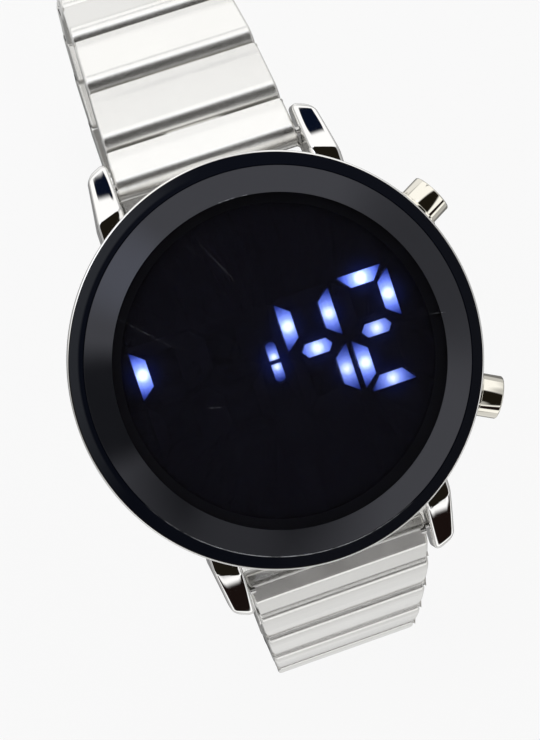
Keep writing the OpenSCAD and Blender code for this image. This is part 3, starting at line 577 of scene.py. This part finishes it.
def lit_diffuser():
    """Milky acrylic that glows white beside its diode and deep blue away from it."""
    material, tree, shader, place = new_material(
        "lit_acrylic_diffuser", Base_Color=linear("#10131f"), Roughness=0.5)
    offset = add(tree, "Attribute", attribute_name="from_diode")
    distance = add(tree, "VectorMath", {0: offset.outputs["Vector"]}, operation="LENGTH")
    share = add(tree, "MapRange", {
        "Value": distance.outputs["Value"], "From Min": 0.0, "From Max": glow_radius * MM})
    ramp = add(tree, "ValToRGB", {"Fac": share})
    stops = ramp.color_ramp.elements
    stops[0].color = linear(glow_middle)
    stops[1].color = linear(glow_tip)
    for position, colour in glow_between:
        stop = stops.new(position)
        stop.color = linear(colour)
    grain = hairlines(tree, place, 0.2, 1, 2.0)
    level = add(tree, "Attribute", attribute_name="level")
    milky = add(tree, "MapRange", {"Value": grain, "To Min": milky_low, "To Max": milky_high})
    bright = add(tree, "Math", {
        0: milky.outputs["Result"], 1: level.outputs["Fac"]}, operation="MULTIPLY")
    tree.links.new(ramp.outputs["Color"], shader.inputs["Emission Color"])
    tree.links.new(bright.outputs[0], shader.inputs["Emission Strength"])
    return material


lit_acrylic = lit_diffuser()
print("diffuser", lit_acrylic.name)

# %% [markdown]
# Every machined edge is broken, or it would cut the hand. A bevel modifier rounds such edges, so
# that they catch a thin line of light, and weighted normals keep the flats flat beside them.

# %% Broken edges
weld_reach = 0.002 * MM
flats_weight = 50


def round_edges(piece, width):
    """Rounds a piece's sharp edges by width millimetres."""
    for polygon in piece.data.polygons:
        polygon.use_smooth = True
    weld = piece.modifiers.new("weld", "WELD")
    weld.merge_threshold = weld_reach
    bevel = piece.modifiers.new("broken_edges", "BEVEL")
    bevel.width = width * MM
    bevel.segments = 2
    bevel.limit_method = "ANGLE"
    bevel.angle_limit = math.radians(30)
    normals = piece.modifiers.new("flat_faces", "WEIGHTED_NORMAL")
    normals.weight = flats_weight


print("points closer than", weld_reach / MM, "mm become one")

# %% [markdown]
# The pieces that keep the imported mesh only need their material. Most of them lie inside the
# case, where hardly any of it is seen. The clasp and the case back are seen from outside, so
# they get broken edges too.

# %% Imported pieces
def dress(names, material, edge=0.0):
    """Gives the named nodes a material and, if edge is set, broken edges."""
    for name in names:
        piece = nodes[name]
        piece.data.materials.clear()
        piece.data.materials.append(material)
        if edge:
            round_edges(piece, edge)


dress(["clasp_cover", "middle_blade", "inner_blade"], satin_steel, 0.08)
dress(["case_back"], satin_steel, 0.06)
dress(["spring_bar_12", "spring_bar_6", "clasp_spring_bar", "cover_hinge_pin", "blade_hinge_pin",
       "case_back_screws", "pusher_clip_upper", "pusher_clip_lower"], turned_steel)
dress(["display_block", "movement_ring", "controller_chip"], black_abs)
dress(["dark_bars"], dark_diffuser)
dress(["led_dies"], led_resin)
dress(["circuit_board"], board_laminate)
dress(["quartz_can", "coin_cell"], nickel_plate)
dress(["cell_contact_plus", "cell_contact_minus", "switch_upper", "switch_lower"], gilt_bronze)
dress(["crystal_gasket", "case_back_gasket", "pusher_seal_upper", "pusher_seal_lower"], nitrile_rubber)
dressed = [node for node in nodes.values() if node.type == "MESH" and node.data.materials]
print("dressed", len(dressed), "nodes")

# %% [markdown]
# Bezel, crystal, case band and pushers are turned parts, so they are spun from a profile. A
# profile is a list of corners with a radius each, and every corner becomes a short arc before
# the spin, since it is the arcs that catch the thin bright lines round the dial. Short arcs
# need few points, and wide ones get more.

# %% Profiles
least_arc_steps, arc_steps_per_mm = 3, 6


def rounded(corners):
    """Turns corners (x, y, radius), in millimetres, into an outline with an arc at each."""
    outline = []
    for i, (x, y, radius) in enumerate(corners):
        here = Vector((x, y))
        if radius == 0:
            outline.append(here)
            continue
        before = (Vector(corners[i - 1][:2]) - here).normalized()
        after = (Vector(corners[(i + 1) % len(corners)][:2]) - here).normalized()
        half_turn = before.angle(after) / 2
        reach = radius / math.tan(half_turn)
        centre = here + (before + after).normalized() * radius / math.sin(half_turn)
        start = here + before * reach - centre
        end = here + after * reach - centre
        sweep = start.angle_signed(end)
        steps = least_arc_steps + int(arc_steps_per_mm * radius)
        for step in range(steps + 1):
            outline.append(centre + Matrix.Rotation(-sweep * step / steps, 2) @ start)
    return outline


square = rounded([(0, 0, 0.1), (1, 0, 0.1), (1, 1, 0.1), (0, 1, 0.1)])
print("a square with round corners has", len(square), "points")

# %% [markdown]
# Turning a profile round Z in small steps gives the solid, as the lathe gives it on the bench. A
# screw modifier could do it too, but points and faces from code can be picked and bent later.

# %% Turned pieces
spin_steps, small_spin_steps = 256, 128


def spun(outline, steps=spin_steps):
    """Points and faces of an outline of (radius, height) turned round Z. Radius 0 is a pole."""
    points, rings = [], []
    for radius, height in outline:
        if radius < 1e-6:
            rings.append([len(points)] * steps)
            points.append((0, 0, height))
            continue
        rings.append(list(range(len(points), len(points) + steps)))
        for step in range(steps):
            turn = 2 * math.pi * step / steps
            points.append((radius * math.cos(turn), radius * math.sin(turn), height))
    faces = []
    last = len(rings) if outline[0][0] > 1e-6 else len(rings) - 1
    for i in range(last):
        low, high = rings[i], rings[(i + 1) % len(rings)]
        for step in range(steps):
            after = (step + 1) % steps
            face = list(dict.fromkeys((low[step], low[after], high[after], high[step])))
            if len(face) > 2:
                faces.append(face)
    return points, faces


def joined(parts):
    """Puts several (points, faces) into one."""
    points, faces = [], []
    for more_points, more_faces in parts:
        shift = len(points)
        points += more_points
        faces += [[i + shift for i in face] for face in more_faces]
    return points, faces


print("spin steps", spin_steps, small_spin_steps)

# %% [markdown]
# Every remade piece comes into the scene in the same way. Its faces are turned outwards and its
# flats kept flat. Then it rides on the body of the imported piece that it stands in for, so it
# moves with the same joints.

# %% Pieces that stand in for packed ones
def new_piece(name, points, faces, material):
    """A smooth mesh object, with its faces turned outwards and its flats kept flat."""
    mesh = bpy.data.meshes.new(name)
    mesh.from_pydata([Vector(p) * MM for p in points], [], faces)
    work = bmesh.new()
    work.from_mesh(mesh)
    bmesh.ops.recalc_face_normals(work, faces=work.faces)
    work.to_mesh(mesh)
    work.free()
    mesh.shade_smooth()
    mesh.materials.append(material)
    piece = bpy.data.objects.new(name, mesh)
    bpy.context.scene.collection.objects.link(piece)
    normals = piece.modifiers.new("flat_faces", "WEIGHTED_NORMAL")
    normals.weight = flats_weight
    return piece


def stand_in(piece, body, node):
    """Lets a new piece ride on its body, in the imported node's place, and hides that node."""
    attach(piece, body)
    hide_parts(node)


print("materials ready for the new pieces", len(bpy.data.materials))

# %% [markdown]
# The bezel's cross-section is an upright edge, a steep sloping face and a narrow land beside
# the crystal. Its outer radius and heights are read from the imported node, and the widths that
# the box can't give are named here.

# %% Bezel
crystal_low, crystal_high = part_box("crystal")
crystal_r = crystal_high.x / MM
crystal_base, crystal_top = crystal_low.z / MM, crystal_high.z / MM
seat_z, crown_z = bezel_low.z / MM, bezel_high.z / MM
bezel_edge_h = 0.6
ledge_in_r = 17.6
ledge_top = crystal_base - 0.2
crystal_gap = 0.04
bezel_bore_r = crystal_r + crystal_gap
bezel_profile = rounded([
    (ledge_in_r, seat_z, 0.03), (bezel_r, seat_z, 0.05), (bezel_r, seat_z + bezel_edge_h, 0.12),
    (bezel_r - bezel_slope_w, crown_z, 0.02), (bezel_bore_r, crown_z, 0.01),
    (bezel_bore_r, ledge_top, 0.03), (ledge_in_r, ledge_top, 0.03)])
bezel = new_piece("black_bezel_ring", *spun(bezel_profile), bezel_coat)
stand_in(bezel, "watch_head", "bezel")
print("bezel", round(bezel_r, 2), "mm radius, crown at", round(crown_z, 2), "mm")

# %% [markdown]
# The crystal is a disc with a wide ground bevel and a slightly rounded edge. The faces of the
# bevel take the printed grey. Its underside is printed black outside the window, so that nobody
# looks past the display's edge, and the rest is glass.

# %% Crystal
bevel_w = 2.75
flat_r = crystal_r - bevel_w
window_r = 15.9
flat_margin, printed_edge_h, underside_h = 0.02, 0.3, 0.01
crystal_profile = rounded([
    (0, crystal_base, 0), (window_r, crystal_base, 0), (crystal_r, crystal_base, 0.05),
    (crystal_r, crown_z, 0.07), (flat_r, crystal_top, 0.05), (0, crystal_top, 0)])
crystal = new_piece("domed_crystal", *spun(crystal_profile), crystal_glass)
crystal.data.materials.append(crystal_bevel)
crystal.data.materials.append(back_print)
for polygon in crystal.data.polygons:
    radius, height = polygon.center.xy.length / MM, polygon.center.z / MM
    if radius > flat_r - flat_margin and height > crown_z - printed_edge_h:
        polygon.material_index = 1
    elif radius > window_r and height < crystal_base + underside_h:
        polygon.material_index = 2
stand_in(crystal, "watch_head", "crystal")
print("crystal", round(crystal_r, 2), "mm radius, flat", round(flat_r, 2))

# %% [markdown]
# The case band and its four lugs are one forging. The band is spun, and hollowed where the nose
# of each end link turns. A lug is a cushion: its top slopes ever more steeply towards the tip,
# all its edges are rolled over, and near the band it levels out behind a ridge. That roll and
# that curve are what frame the dark reflection in the middle of each lug.

# %% Case band
case_low, case_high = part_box("case")
rim_z = case_high.z / MM
foot_z = case_low.z / MM
case_r = bezel_r + 0.25
bezel_seat_r = bezel_r + 0.01
cavity_r, cavity_floor = 16.4, 1.3
foot_r, back_bore_r, back_seat = 19.0, 18.4, 0.9
gasket_groove_r = 16.95
fold_place = joints["fold_12"]["pos_m"]
bar_y, bar_z = abs(fold_place[1]) / MM, fold_place[2] / MM
nose_room_r = 1.65
lug_in, lug_out, lug_tip_out = 10.0, 13.0, 12.35


def band():
    """The case band, hollowed round the two end link noses."""
    belly = [(20.24, 1.505, 0), (20.53, 2.28, 0), (20.8, 3.0, 0), (21.1, 3.75, 0)]
    points, faces = spun(rounded([
        (back_bore_r, foot_z, 0.05), (foot_r, foot_z, 0.12), *belly, (case_r, 4.3, 0.6),
        (case_r, rim_z, 0.2), (bezel_seat_r, rim_z, 0.03), (bezel_seat_r, seat_z, 0),
        (cavity_r, seat_z, 0), (cavity_r, cavity_floor, 0), (gasket_groove_r, cavity_floor, 0),
        (gasket_groove_r, back_seat, 0), (back_bore_r, back_seat, 0)]))
    hollowed = []
    for x, y, z in points:
        away = math.hypot(abs(y) - bar_y, z - bar_z)
        if abs(x) < lug_in and away < nose_room_r and abs(y) > cavity_r:
            y = math.copysign(bar_y - math.sqrt(nose_room_r**2 - (z - bar_z) ** 2), y)
        hollowed.append((x, y, z))
    return hollowed, faces


print("case foot at", round(foot_z, 2), "mm, rim at", round(rim_z, 2), "mm")

# %% [markdown]
# A lug is too freely curved for a profile, and a subdivided block would lose its flat sides. So
# its top is a height worked out over its plan: the lower of the sloping top and the shoulder
# beside the band, less the rolled edge. Its tip lies on a circle round the case.

# %% Lug surface
ridge_y, ridge_z, ridge_x = 19.1, 6.0, 11.5
lug_reach_r = 26.6
edge_roll = 0.5
top_corner = 0.8
near_slope, slope_gain = 0.384, 0.0265
shoulder_climb = 0.13


def lug_tip(u, width):
    """How far out the lug reaches at the share u of its width, with its corners rounded."""
    x = lug_in + u * width
    y = math.sqrt(lug_reach_r**2 - x * x)
    inward = min(u, 1 - u) * width
    if inward < top_corner:
        y -= top_corner - math.sqrt(max(0.0, top_corner**2 - (top_corner - inward) ** 2))
    return y


def lug_top(x, y, from_edge):
    """The height of the lug's top at a point that lies from_edge inside the outline."""
    fall = y - ridge_y
    slope = ridge_z - near_slope * fall - slope_gain * max(0.0, fall) ** 2
    shoulder = ridge_z + shoulder_climb * (x - ridge_x)
    z = min(slope, shoulder)
    if from_edge < edge_roll:
        z -= edge_roll * (1 - math.sqrt(1 - (1 - from_edge / edge_roll) ** 2))
    return z


print("lug tip at", round(lug_tip(0.5, lug_tip_out - lug_in), 2), "mm from the middle")

# %% [markdown]
# The surface becomes a grid of points, close-set near the edges, where it rolls over. The same
# grid drawn in a little makes the underside, and a wall joins the two along the rim.

# %% Lugs
lug_root_y = 15.2
lug_under = 0.45
under_bevel = 0.15
tip_starts = 0.4
spread = [0, 0.015, 0.05, 0.1, 0.17, 0.27, 0.38, 0.5, 0.62, 0.73, 0.83, 0.9, 0.95, 0.985, 1]
lug_rows, row_crowding = 72, 1.25


def lug(side_x, side_y):
    """One lug: a grid over its plan for the top, the same grid inset for the underside."""
    rows = [1 - (1 - k / lug_rows) ** row_crowding for k in range(lug_rows + 1)]
    upper, lower = [], []
    for v in rows:
        for u in spread:
            near_tip = max(0.0, (v - tip_starts) / (1 - tip_starts))
            width = lug_out - lug_in - near_tip * (lug_out - lug_tip_out)
            tip_y = lug_tip(u, width)
            y = lug_root_y + v * (tip_y - lug_root_y)
            x = lug_in + u * width
            from_edge = min(u * width, (1 - u) * width, tip_y - y)
            upper.append((side_x * x, side_y * y, lug_top(x, y, from_edge)))
            inset = max(0.0, under_bevel - from_edge)
            low_x = x + (inset if u < 0.5 else -inset)
            low_y = y - (under_bevel if v == 1 else 0)
            lower.append((side_x * low_x, side_y * low_y, lug_under))
    points = upper + lower
    n, m, half_count = len(spread), len(rows), len(upper)
    faces = []
    for i in range(m - 1):
        for j in range(n - 1):
            a = i * n + j
            faces.append((a, a + 1, a + n + 1, a + n))
            faces.append(tuple(k + half_count for k in (a, a + n, a + n + 1, a + 1)))
    rim = list(range(n)) + [i * n + n - 1 for i in range(1, m)]
    rim += [(m - 1) * n + j for j in range(n - 2, -1, -1)] + [i * n for i in range(m - 2, 0, -1)]
    wall_low = len(points)
    points += [(points[k][0], points[k][1], lug_under + under_bevel) for k in rim]
    for i in range(len(rim)):
        after = (i + 1) % len(rim)
        faces.append((rim[i], rim[after], wall_low + after, wall_low + i))
        faces.append((wall_low + i, wall_low + after, rim[after] + half_count, rim[i] + half_count))
    return points, faces


lugs = [lug(x, y) for x in (1, -1) for y in (1, -1)]
case = new_piece("case_band_and_lugs", *joined([band()] + lugs), polished_steel)
stand_in(case, "watch_head", "case")
print("case", len(case.data.polygons), "faces")

# %% [markdown]
# A pusher is a turned cap in a thin guide tube. Both are spun round Z and laid over to point
# out of the case at 28 degrees above and below three o'clock.

# %% Pushers
push_angle = 28
push_r = 2.25
push_z = (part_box("pusher_upper")[0].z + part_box("pusher_upper")[1].z) / 2 / MM
cap_tip, cap_in = 23.85, 20.6
stem_r, stem_end = 0.6, 14.9
tube_in, tube_end = 18.2, 21.6
tube_wall, tube_fit = 0.2, 0.05


def pointed(parts, hand):
    """Lays points spun round Z over, to point outwards at one pusher."""
    points, faces = parts
    laid_over = Matrix.Rotation(math.radians(90), 3, "Y")
    turn = Matrix.Rotation(math.radians(hand * push_angle), 3, "Z") @ laid_over
    return [tuple(turn @ Vector(p) + Vector((0, 0, push_z))) for p in points], faces


cap_profile = rounded([
    (0, stem_end, 0), (stem_r, stem_end, 0.05), (stem_r, cap_in, 0.02), (push_r, cap_in, 0.05),
    (push_r, cap_tip, 0.16), (0, cap_tip, 0)])
tube_in_r = push_r + tube_fit
tube_out_r = tube_in_r + tube_wall
tube_profile = rounded([
    (tube_in_r, tube_in, 0), (tube_out_r, tube_in, 0), (tube_out_r, tube_end, 0.07),
    (tube_in_r, tube_end, 0.05)])
for word, hand in (("upper", 1), ("lower", -1)):
    cap = new_piece("cap_" + word, *pointed(spun(cap_profile, small_spin_steps), hand), warm_steel)
    stand_in(cap, word + "_pusher", "pusher_" + word)
    tube_parts = pointed(spun(tube_profile, small_spin_steps), hand)
    tube = new_piece("guide_tube_" + word, *tube_parts, warm_steel)
    stand_in(tube, "watch_head", "pusher_tube_" + word)
print("pushers at", round(push_z, 2), "mm")

# %% [markdown]
# Behind each cap a coil spring pushes it out again. It stands on the case and shortens as the cap
# goes in. Here it is a copy of the imported spring that rides on the case.

# %% Return springs
for word, hand in (("upper", 1), ("lower", -1)):
    packed = nodes["pusher_spring_" + word]
    spring = bpy.data.objects.new("return_spring_" + word, packed.data.copy())
    spring.matrix_world = packed.matrix_world.copy()
    bpy.context.scene.collection.objects.link(spring)
    spring.data.materials.clear()
    spring.data.materials.append(turned_steel)
    for polygon in spring.data.polygons:
        polygon.use_smooth = True
    stand_in(spring, "watch_head", "pusher_spring_" + word)
    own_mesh(spring)

# %% [markdown]
# A slat is cut from a drawn bar: a big soft roll at its near edge, a top that is nearly flat
# and falls away at the far end, and a hollow there for the next slat's nose. Its side edges are
# rolled over too. Under the hollow a tongue reaches into the next nose, where a pin holds it.

# %% Slat section
nose_low, nose_top, nose_front = -1.42, 1.38, -1.42
nose_roll, nose_under_roll = 1.9, 1.0
hollow_r, hollow_steps = 1.57, 7
hollow_starts, hollow_ends_12, hollow_ends_6 = 219.6, 146.8, 132
hollow_back = 1.9


def link_section(length, way, first):
    """The outline of one link, as (along, outwards) from its near hinge."""
    start = math.radians(hollow_starts)
    end = math.radians(hollow_ends_12 if way > 0 else hollow_ends_6)
    hollow = []
    for k in range(hollow_steps + 1):
        turn = start + (end - start) * k / hollow_steps
        hollow.append((length + hollow_r * math.cos(turn), hollow_r * math.sin(turn), 0))
    under = [(nose_front, nose_low, nose_under_roll), (length - hollow_back, nose_low, 0.3), *hollow]
    if way > 0:
        return rounded(under + [(length - 1.33, 0.86, 0.07), (length - 2.4, 1.03, 8.0),
                                (nose_front, nose_top, nose_roll)])
    # on the six o'clock side the tops are rounder, and the end link has a long sloping face
    if first:
        return rounded(under + [(length - 1.1, 1.2, 0.05), (1.5, 1.42, 1.6), (-0.85, 0.72, 1.0),
                                (nose_front, -0.3, 0.6)])
    return rounded(under + [(length - 1.1, 0.96, 0.05), (length - 2.3, 1.22, 3.0),
                            (length - 3.9, 1.39, 6.0), (1.0, 1.44, 8.0),
                            (nose_front, 1.34, nose_roll)])


link_pitch = 6.8
sample = link_section(link_pitch, 1, False)
print("slat section", len(sample), "points,", round(max(p.y for p in sample), 2), "mm over its hinge")

# %% [markdown]
# A section becomes a solid when it is drawn out along X, as the bar it is cut from was. At each
# end it is drawn in over a quarter circle, which gives the slat its rolled side edges.

# %% Drawn bars
def bar(section, half_width, roll=0.0, steps=1):
    """Points (x, along, outwards) and faces of a section drawn out along X, its ends rolled."""
    count = len(section)
    area = sum(a.cross(b) for a, b in zip(section, section[1:] + section[:1]))
    inward = []
    for i in range(count):
        tangent = (section[(i + 1) % count] - section[i - 1]).normalized()
        side = Vector((-tangent.y, tangent.x))
        inward.append(side if area > 0 else -side)
    turns = [math.pi / 2 * k / steps for k in range(steps + 1)] if roll else [0.0]
    points, rings = [], []
    for sign in (-1, 1):
        for turn in (turns[::-1] if sign < 0 else turns):
            rings.append(len(points))
            inset = roll * (1 - math.cos(turn))
            for spot, pull in zip(section, inward):
                here = spot + pull * inset
                x = sign * (half_width(spot.x) - roll + roll * math.sin(turn))
                points.append((x, here.x, here.y))
    faces = [list(range(rings[0], rings[0] + count)), list(range(rings[-1], rings[-1] + count))]
    for low, high in zip(rings, rings[1:]):
        for i in range(count):
            after = (i + 1) % count
            faces.append((low + i, low + after, high + after, high + i))
    return points, faces


def circle(radius, along=0.0, steps=32):
    """A round section with its middle at along."""
    turns = [2 * math.pi * k / steps for k in range(steps)]
    return [Vector((along + radius * math.cos(t), radius * math.sin(t))) for t in turns]


print("round section", len(circle(1.0)), "points")

# %% [markdown]
# One link is the slat, the tongue with its neck under the hollow, and the pin through its nose.
# The last one also holds the bar that the clasp hooks onto. The bracelet tapers towards the
# clasp, so a link's width depends on how far along it sits.

# %% One link
end_roll, end_roll_steps = 0.35, 4
tongue_r, tongue_w, neck_t, tongue_roll = 0.95, 6.0, 0.9, 0.1
pin_r, pin_stands_out, pin_roll = 0.5, 0.03, 0.06
hook_bar_inset = 1.5
link_w, clasp_w, taper = 19.6, 16.0, 0.115
link_nose_r = 1.45


def link_parts(length, run, way, last):
    """All the solids of one link. run is the distance along the bracelet to its near hinge."""
    def width_at(s):
        return max(clasp_w, link_w - taper * s)

    near = width_at(run) / 2 + taper * link_nose_r / 2
    far = width_at(run + length) / 2

    def half_width(s):
        return near + (far - near) * (s + link_nose_r) / (length + link_nose_r)

    root, half_t = length - hollow_back, neck_t / 2
    neck = [Vector(p) for p in ((root, -half_t), (length, -half_t), (length, half_t), (root, half_t))]
    pin_half, hook_half = half_width(0) + pin_stands_out, clasp_w / 2 - hook_bar_inset
    parts = [bar(link_section(length, way, run == 0), half_width, end_roll, end_roll_steps),
             bar(circle(tongue_r, length), lambda s: tongue_w / 2, tongue_roll, 2),
             bar(neck, lambda s: tongue_w / 2)]
    if run > 0:
        parts.append(bar(circle(pin_r), lambda s: pin_half, pin_roll, 2))
    if last:
        parts.append(bar(circle(pin_r, length), lambda s: hook_half, pin_roll, 2))
    return joined(parts)


print("faces of the last link", len(link_parts(link_pitch, 9 * link_pitch, 1, True)[1]))

# %% [markdown]
# Each link is laid from its own hinge towards the next one. They could be copies of one slat on
# a curve, but every link has its own width, and two of them their own shape. The hinges are
# read from the joints. Only the last slat's far end is named here: it holds the clasp's hook.

# %% Bracelet
last_slope_12 = 173
link_count = 0
for side, way, count in (("12", 1, 9), ("6", -1, 8)):
    slats = range(1, count + 1)
    names = ["end_link_" + side] + ["slat_%s_%d" % (side, i) for i in slats]
    turning = ["fold_" + side] + ["bend_%s_%d" % (side, i) for i in slats]
    if way < 0:
        turning.append("clasp_bend")
    hinges = [Vector(joints[name]["pos_m"][1:]) / MM for name in turning]
    if way > 0:
        slope = math.radians(last_slope_12)
        hinges.append(hinges[-1] + link_pitch * Vector((math.cos(slope), -math.sin(slope))))
    run = 0.0
    for i, name in enumerate(names):
        here, step = hinges[i], hinges[i + 1] - hinges[i]
        along = step.normalized()
        out = Vector((-along.y, along.x)) * way
        points, faces = link_parts(step.length, run, way, way > 0 and i == count)
        laid = []
        for x, s, t in points:
            spot = here + along * s + out * t
            laid.append((x, spot.x, spot.y))
        piece = new_piece("brushed_" + name, laid, faces, satin_steel)
        stand_in(piece, name, name)
        run += step.length
        link_count += 1
print("links", link_count)

# %% [markdown]
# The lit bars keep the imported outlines, with their corners rounded a little. They are one mesh,
# but each bar has a diode and a brightness of its own. So the copy is first sorted into separate
# bars, by walking along the edges from one point to all that it is joined to.

# %% One bar after another
lit_mesh = nodes["lit_bars"].data.copy()
lit_mesh.name = "lit_bars_glowing"
work = bmesh.new()
work.from_mesh(lit_mesh)
bmesh.ops.remove_doubles(work, verts=work.verts, dist=weld_reach)


def islands(mesh):
    """The points of each separate bar, in the mesh's own order."""
    found, waiting = [], set(mesh.verts)
    for seed in mesh.verts:
        if seed not in waiting:
            continue
        waiting.discard(seed)
        island, front = [], [seed]
        while front:
            vert = front.pop()
            island.append(vert)
            for edge in vert.link_edges:
                beside = edge.other_vert(vert)
                if beside in waiting:
                    waiting.discard(beside)
                    front.append(beside)
        found.append(island)
    return found


bars = islands(work)
print("bars", len(bars))

# %% [markdown]
# The faces of the bars stand flush with the block. They are a hair wider than the wells, because
# the light spills over the wells' edges, and shorter, because it fades before it reaches the
# tips. Only the level bars in the middle are longer, since they end in the gaps between the
# others. Each point notes how far it is from the middle of its own bar, where the diode sits.
# The two colon pieces share one diode between them, so their light falls off away from the gap.
# The bars aren't equally bright: the upper ones glow a little more.

# %% Lit bars
bar_widening, side_bar_stretch, centre_bar_stretch = 1.17, 0.93, 1.1
base_glow, glow_swing, upper_glow, colon_glow = 0.6, 0.09, 0.26, 0.54
colon_w, colon_h, colon_inner, colon_gap_half = 1.2 * MM, 3 * MM, 0.125 * MM, 0.22 * MM
colon_shrink, colon_middle, colon_falloff = 0.84, 0.5 * MM, 1.6
swing_per_mm, digit_half_h, centre_band, bar_corner = 1.7, 4 * MM, 0.5 * MM, 0.3 * MM
bar_middle_z = sum(box.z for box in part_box("lit_bars")) / 2
face_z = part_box("display_block")[1].z + 0.01 * MM
from_diode = work.verts.layers.float_vector.new("from_diode")
level = work.verts.layers.float.new("level")
diodes = []
for island in islands(work):
    xs = [v.co.x for v in island]
    ys = [v.co.y for v in island]
    width, height = max(xs) - min(xs), max(ys) - min(ys)
    middle = Vector(((min(xs) + max(xs)) / 2, (min(ys) + max(ys)) / 2, 0))
    swing = glow_swing * math.sin(middle.x / MM * swing_per_mm)
    brightness = base_glow + swing + upper_glow * max(0.0, middle.y / digit_half_h) ** 2
    is_colon = width < colon_w and height < colon_h and abs(middle.y) < colon_h / 2
    if is_colon:
        for vert in island:
            reach = colon_gap_half + (abs(vert.co.y) - colon_inner) * colon_shrink
            vert.co.y = math.copysign(reach, middle.y)
        middle.y = math.copysign(colon_middle, middle.y)
        brightness = colon_glow
    else:
        is_level = width > height
        is_centre = is_level and abs(middle.y) < centre_band
        stretch = centre_bar_stretch if is_centre else side_bar_stretch
        scale_x, scale_y = (stretch, bar_widening) if is_level else (bar_widening, stretch)
        for vert in island:
            vert.co.x = middle.x + (vert.co.x - middle.x) * scale_x
            vert.co.y = middle.y + (vert.co.y - middle.y) * scale_y
    for vert in island:
        away = Vector((vert.co.x, vert.co.y, 0)) - middle
        vert[from_diode] = away * (colon_falloff if is_colon else 1)
        vert[level] = brightness
        if vert.co.z > bar_middle_z:
            vert.co.z = face_z
    diodes.append((middle, brightness))
work.to_mesh(lit_mesh)
work.free()
lit_mesh.materials.clear()
lit_mesh.materials.append(lit_acrylic)
lit_bars = bpy.data.objects.new("lit_bars_glowing", lit_mesh)
bpy.context.scene.collection.objects.link(lit_bars)
corners = lit_bars.modifiers.new("moulded_corners", "BEVEL")
corners.width = bar_corner
corners.segments = 4
corners.limit_method = "ANGLE"
corners.angle_limit = math.radians(20)
stand_in(lit_bars, "watch_head", "lit_bars")
print("lit bars", len(diodes))

# %% [markdown]
# The filter is a plain disc, but it has many rings, so that the haze round the digits changes
# smoothly across it. Noise or a picture can't know where the bars are. A value at each point can.

# %% Filter disc
filter_low, filter_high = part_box("dark_filter")
filter_r = filter_high.x / MM
filter_base, filter_top = filter_low.z / MM, filter_high.z / MM
rings = 60
haze_reach, haze_depth = 1.25 * MM, 0.1 * MM
disc_profile = [(filter_r * k / rings, filter_top) for k in range(rings + 1)]
disc_profile += [(filter_r, filter_base), (0, filter_base)]
disc = new_piece("dark_filter_disc", *spun(disc_profile), film)
haze = disc.data.attributes.new("haze", "FLOAT", "POINT")
for i, vert in enumerate(disc.data.vertices):
    total = 0.0
    for middle, brightness in diodes:
        away = (vert.co.xy - middle.xy).length / haze_reach
        total += brightness * math.exp(-away * away)
    haze.data[i].value = total if vert.co.z > filter_high.z - haze_depth else 0.0
stand_in(disc, "watch_head", "dark_filter")
print("filter", round(filter_r, 2), "mm radius")

# %% [markdown]
# At the end the box round the imported solids is written down, in millimetres.

# %% Size of the imported solids
print("cad", [round(v / MM, 2) for v in (*cad_low, *cad_high)])
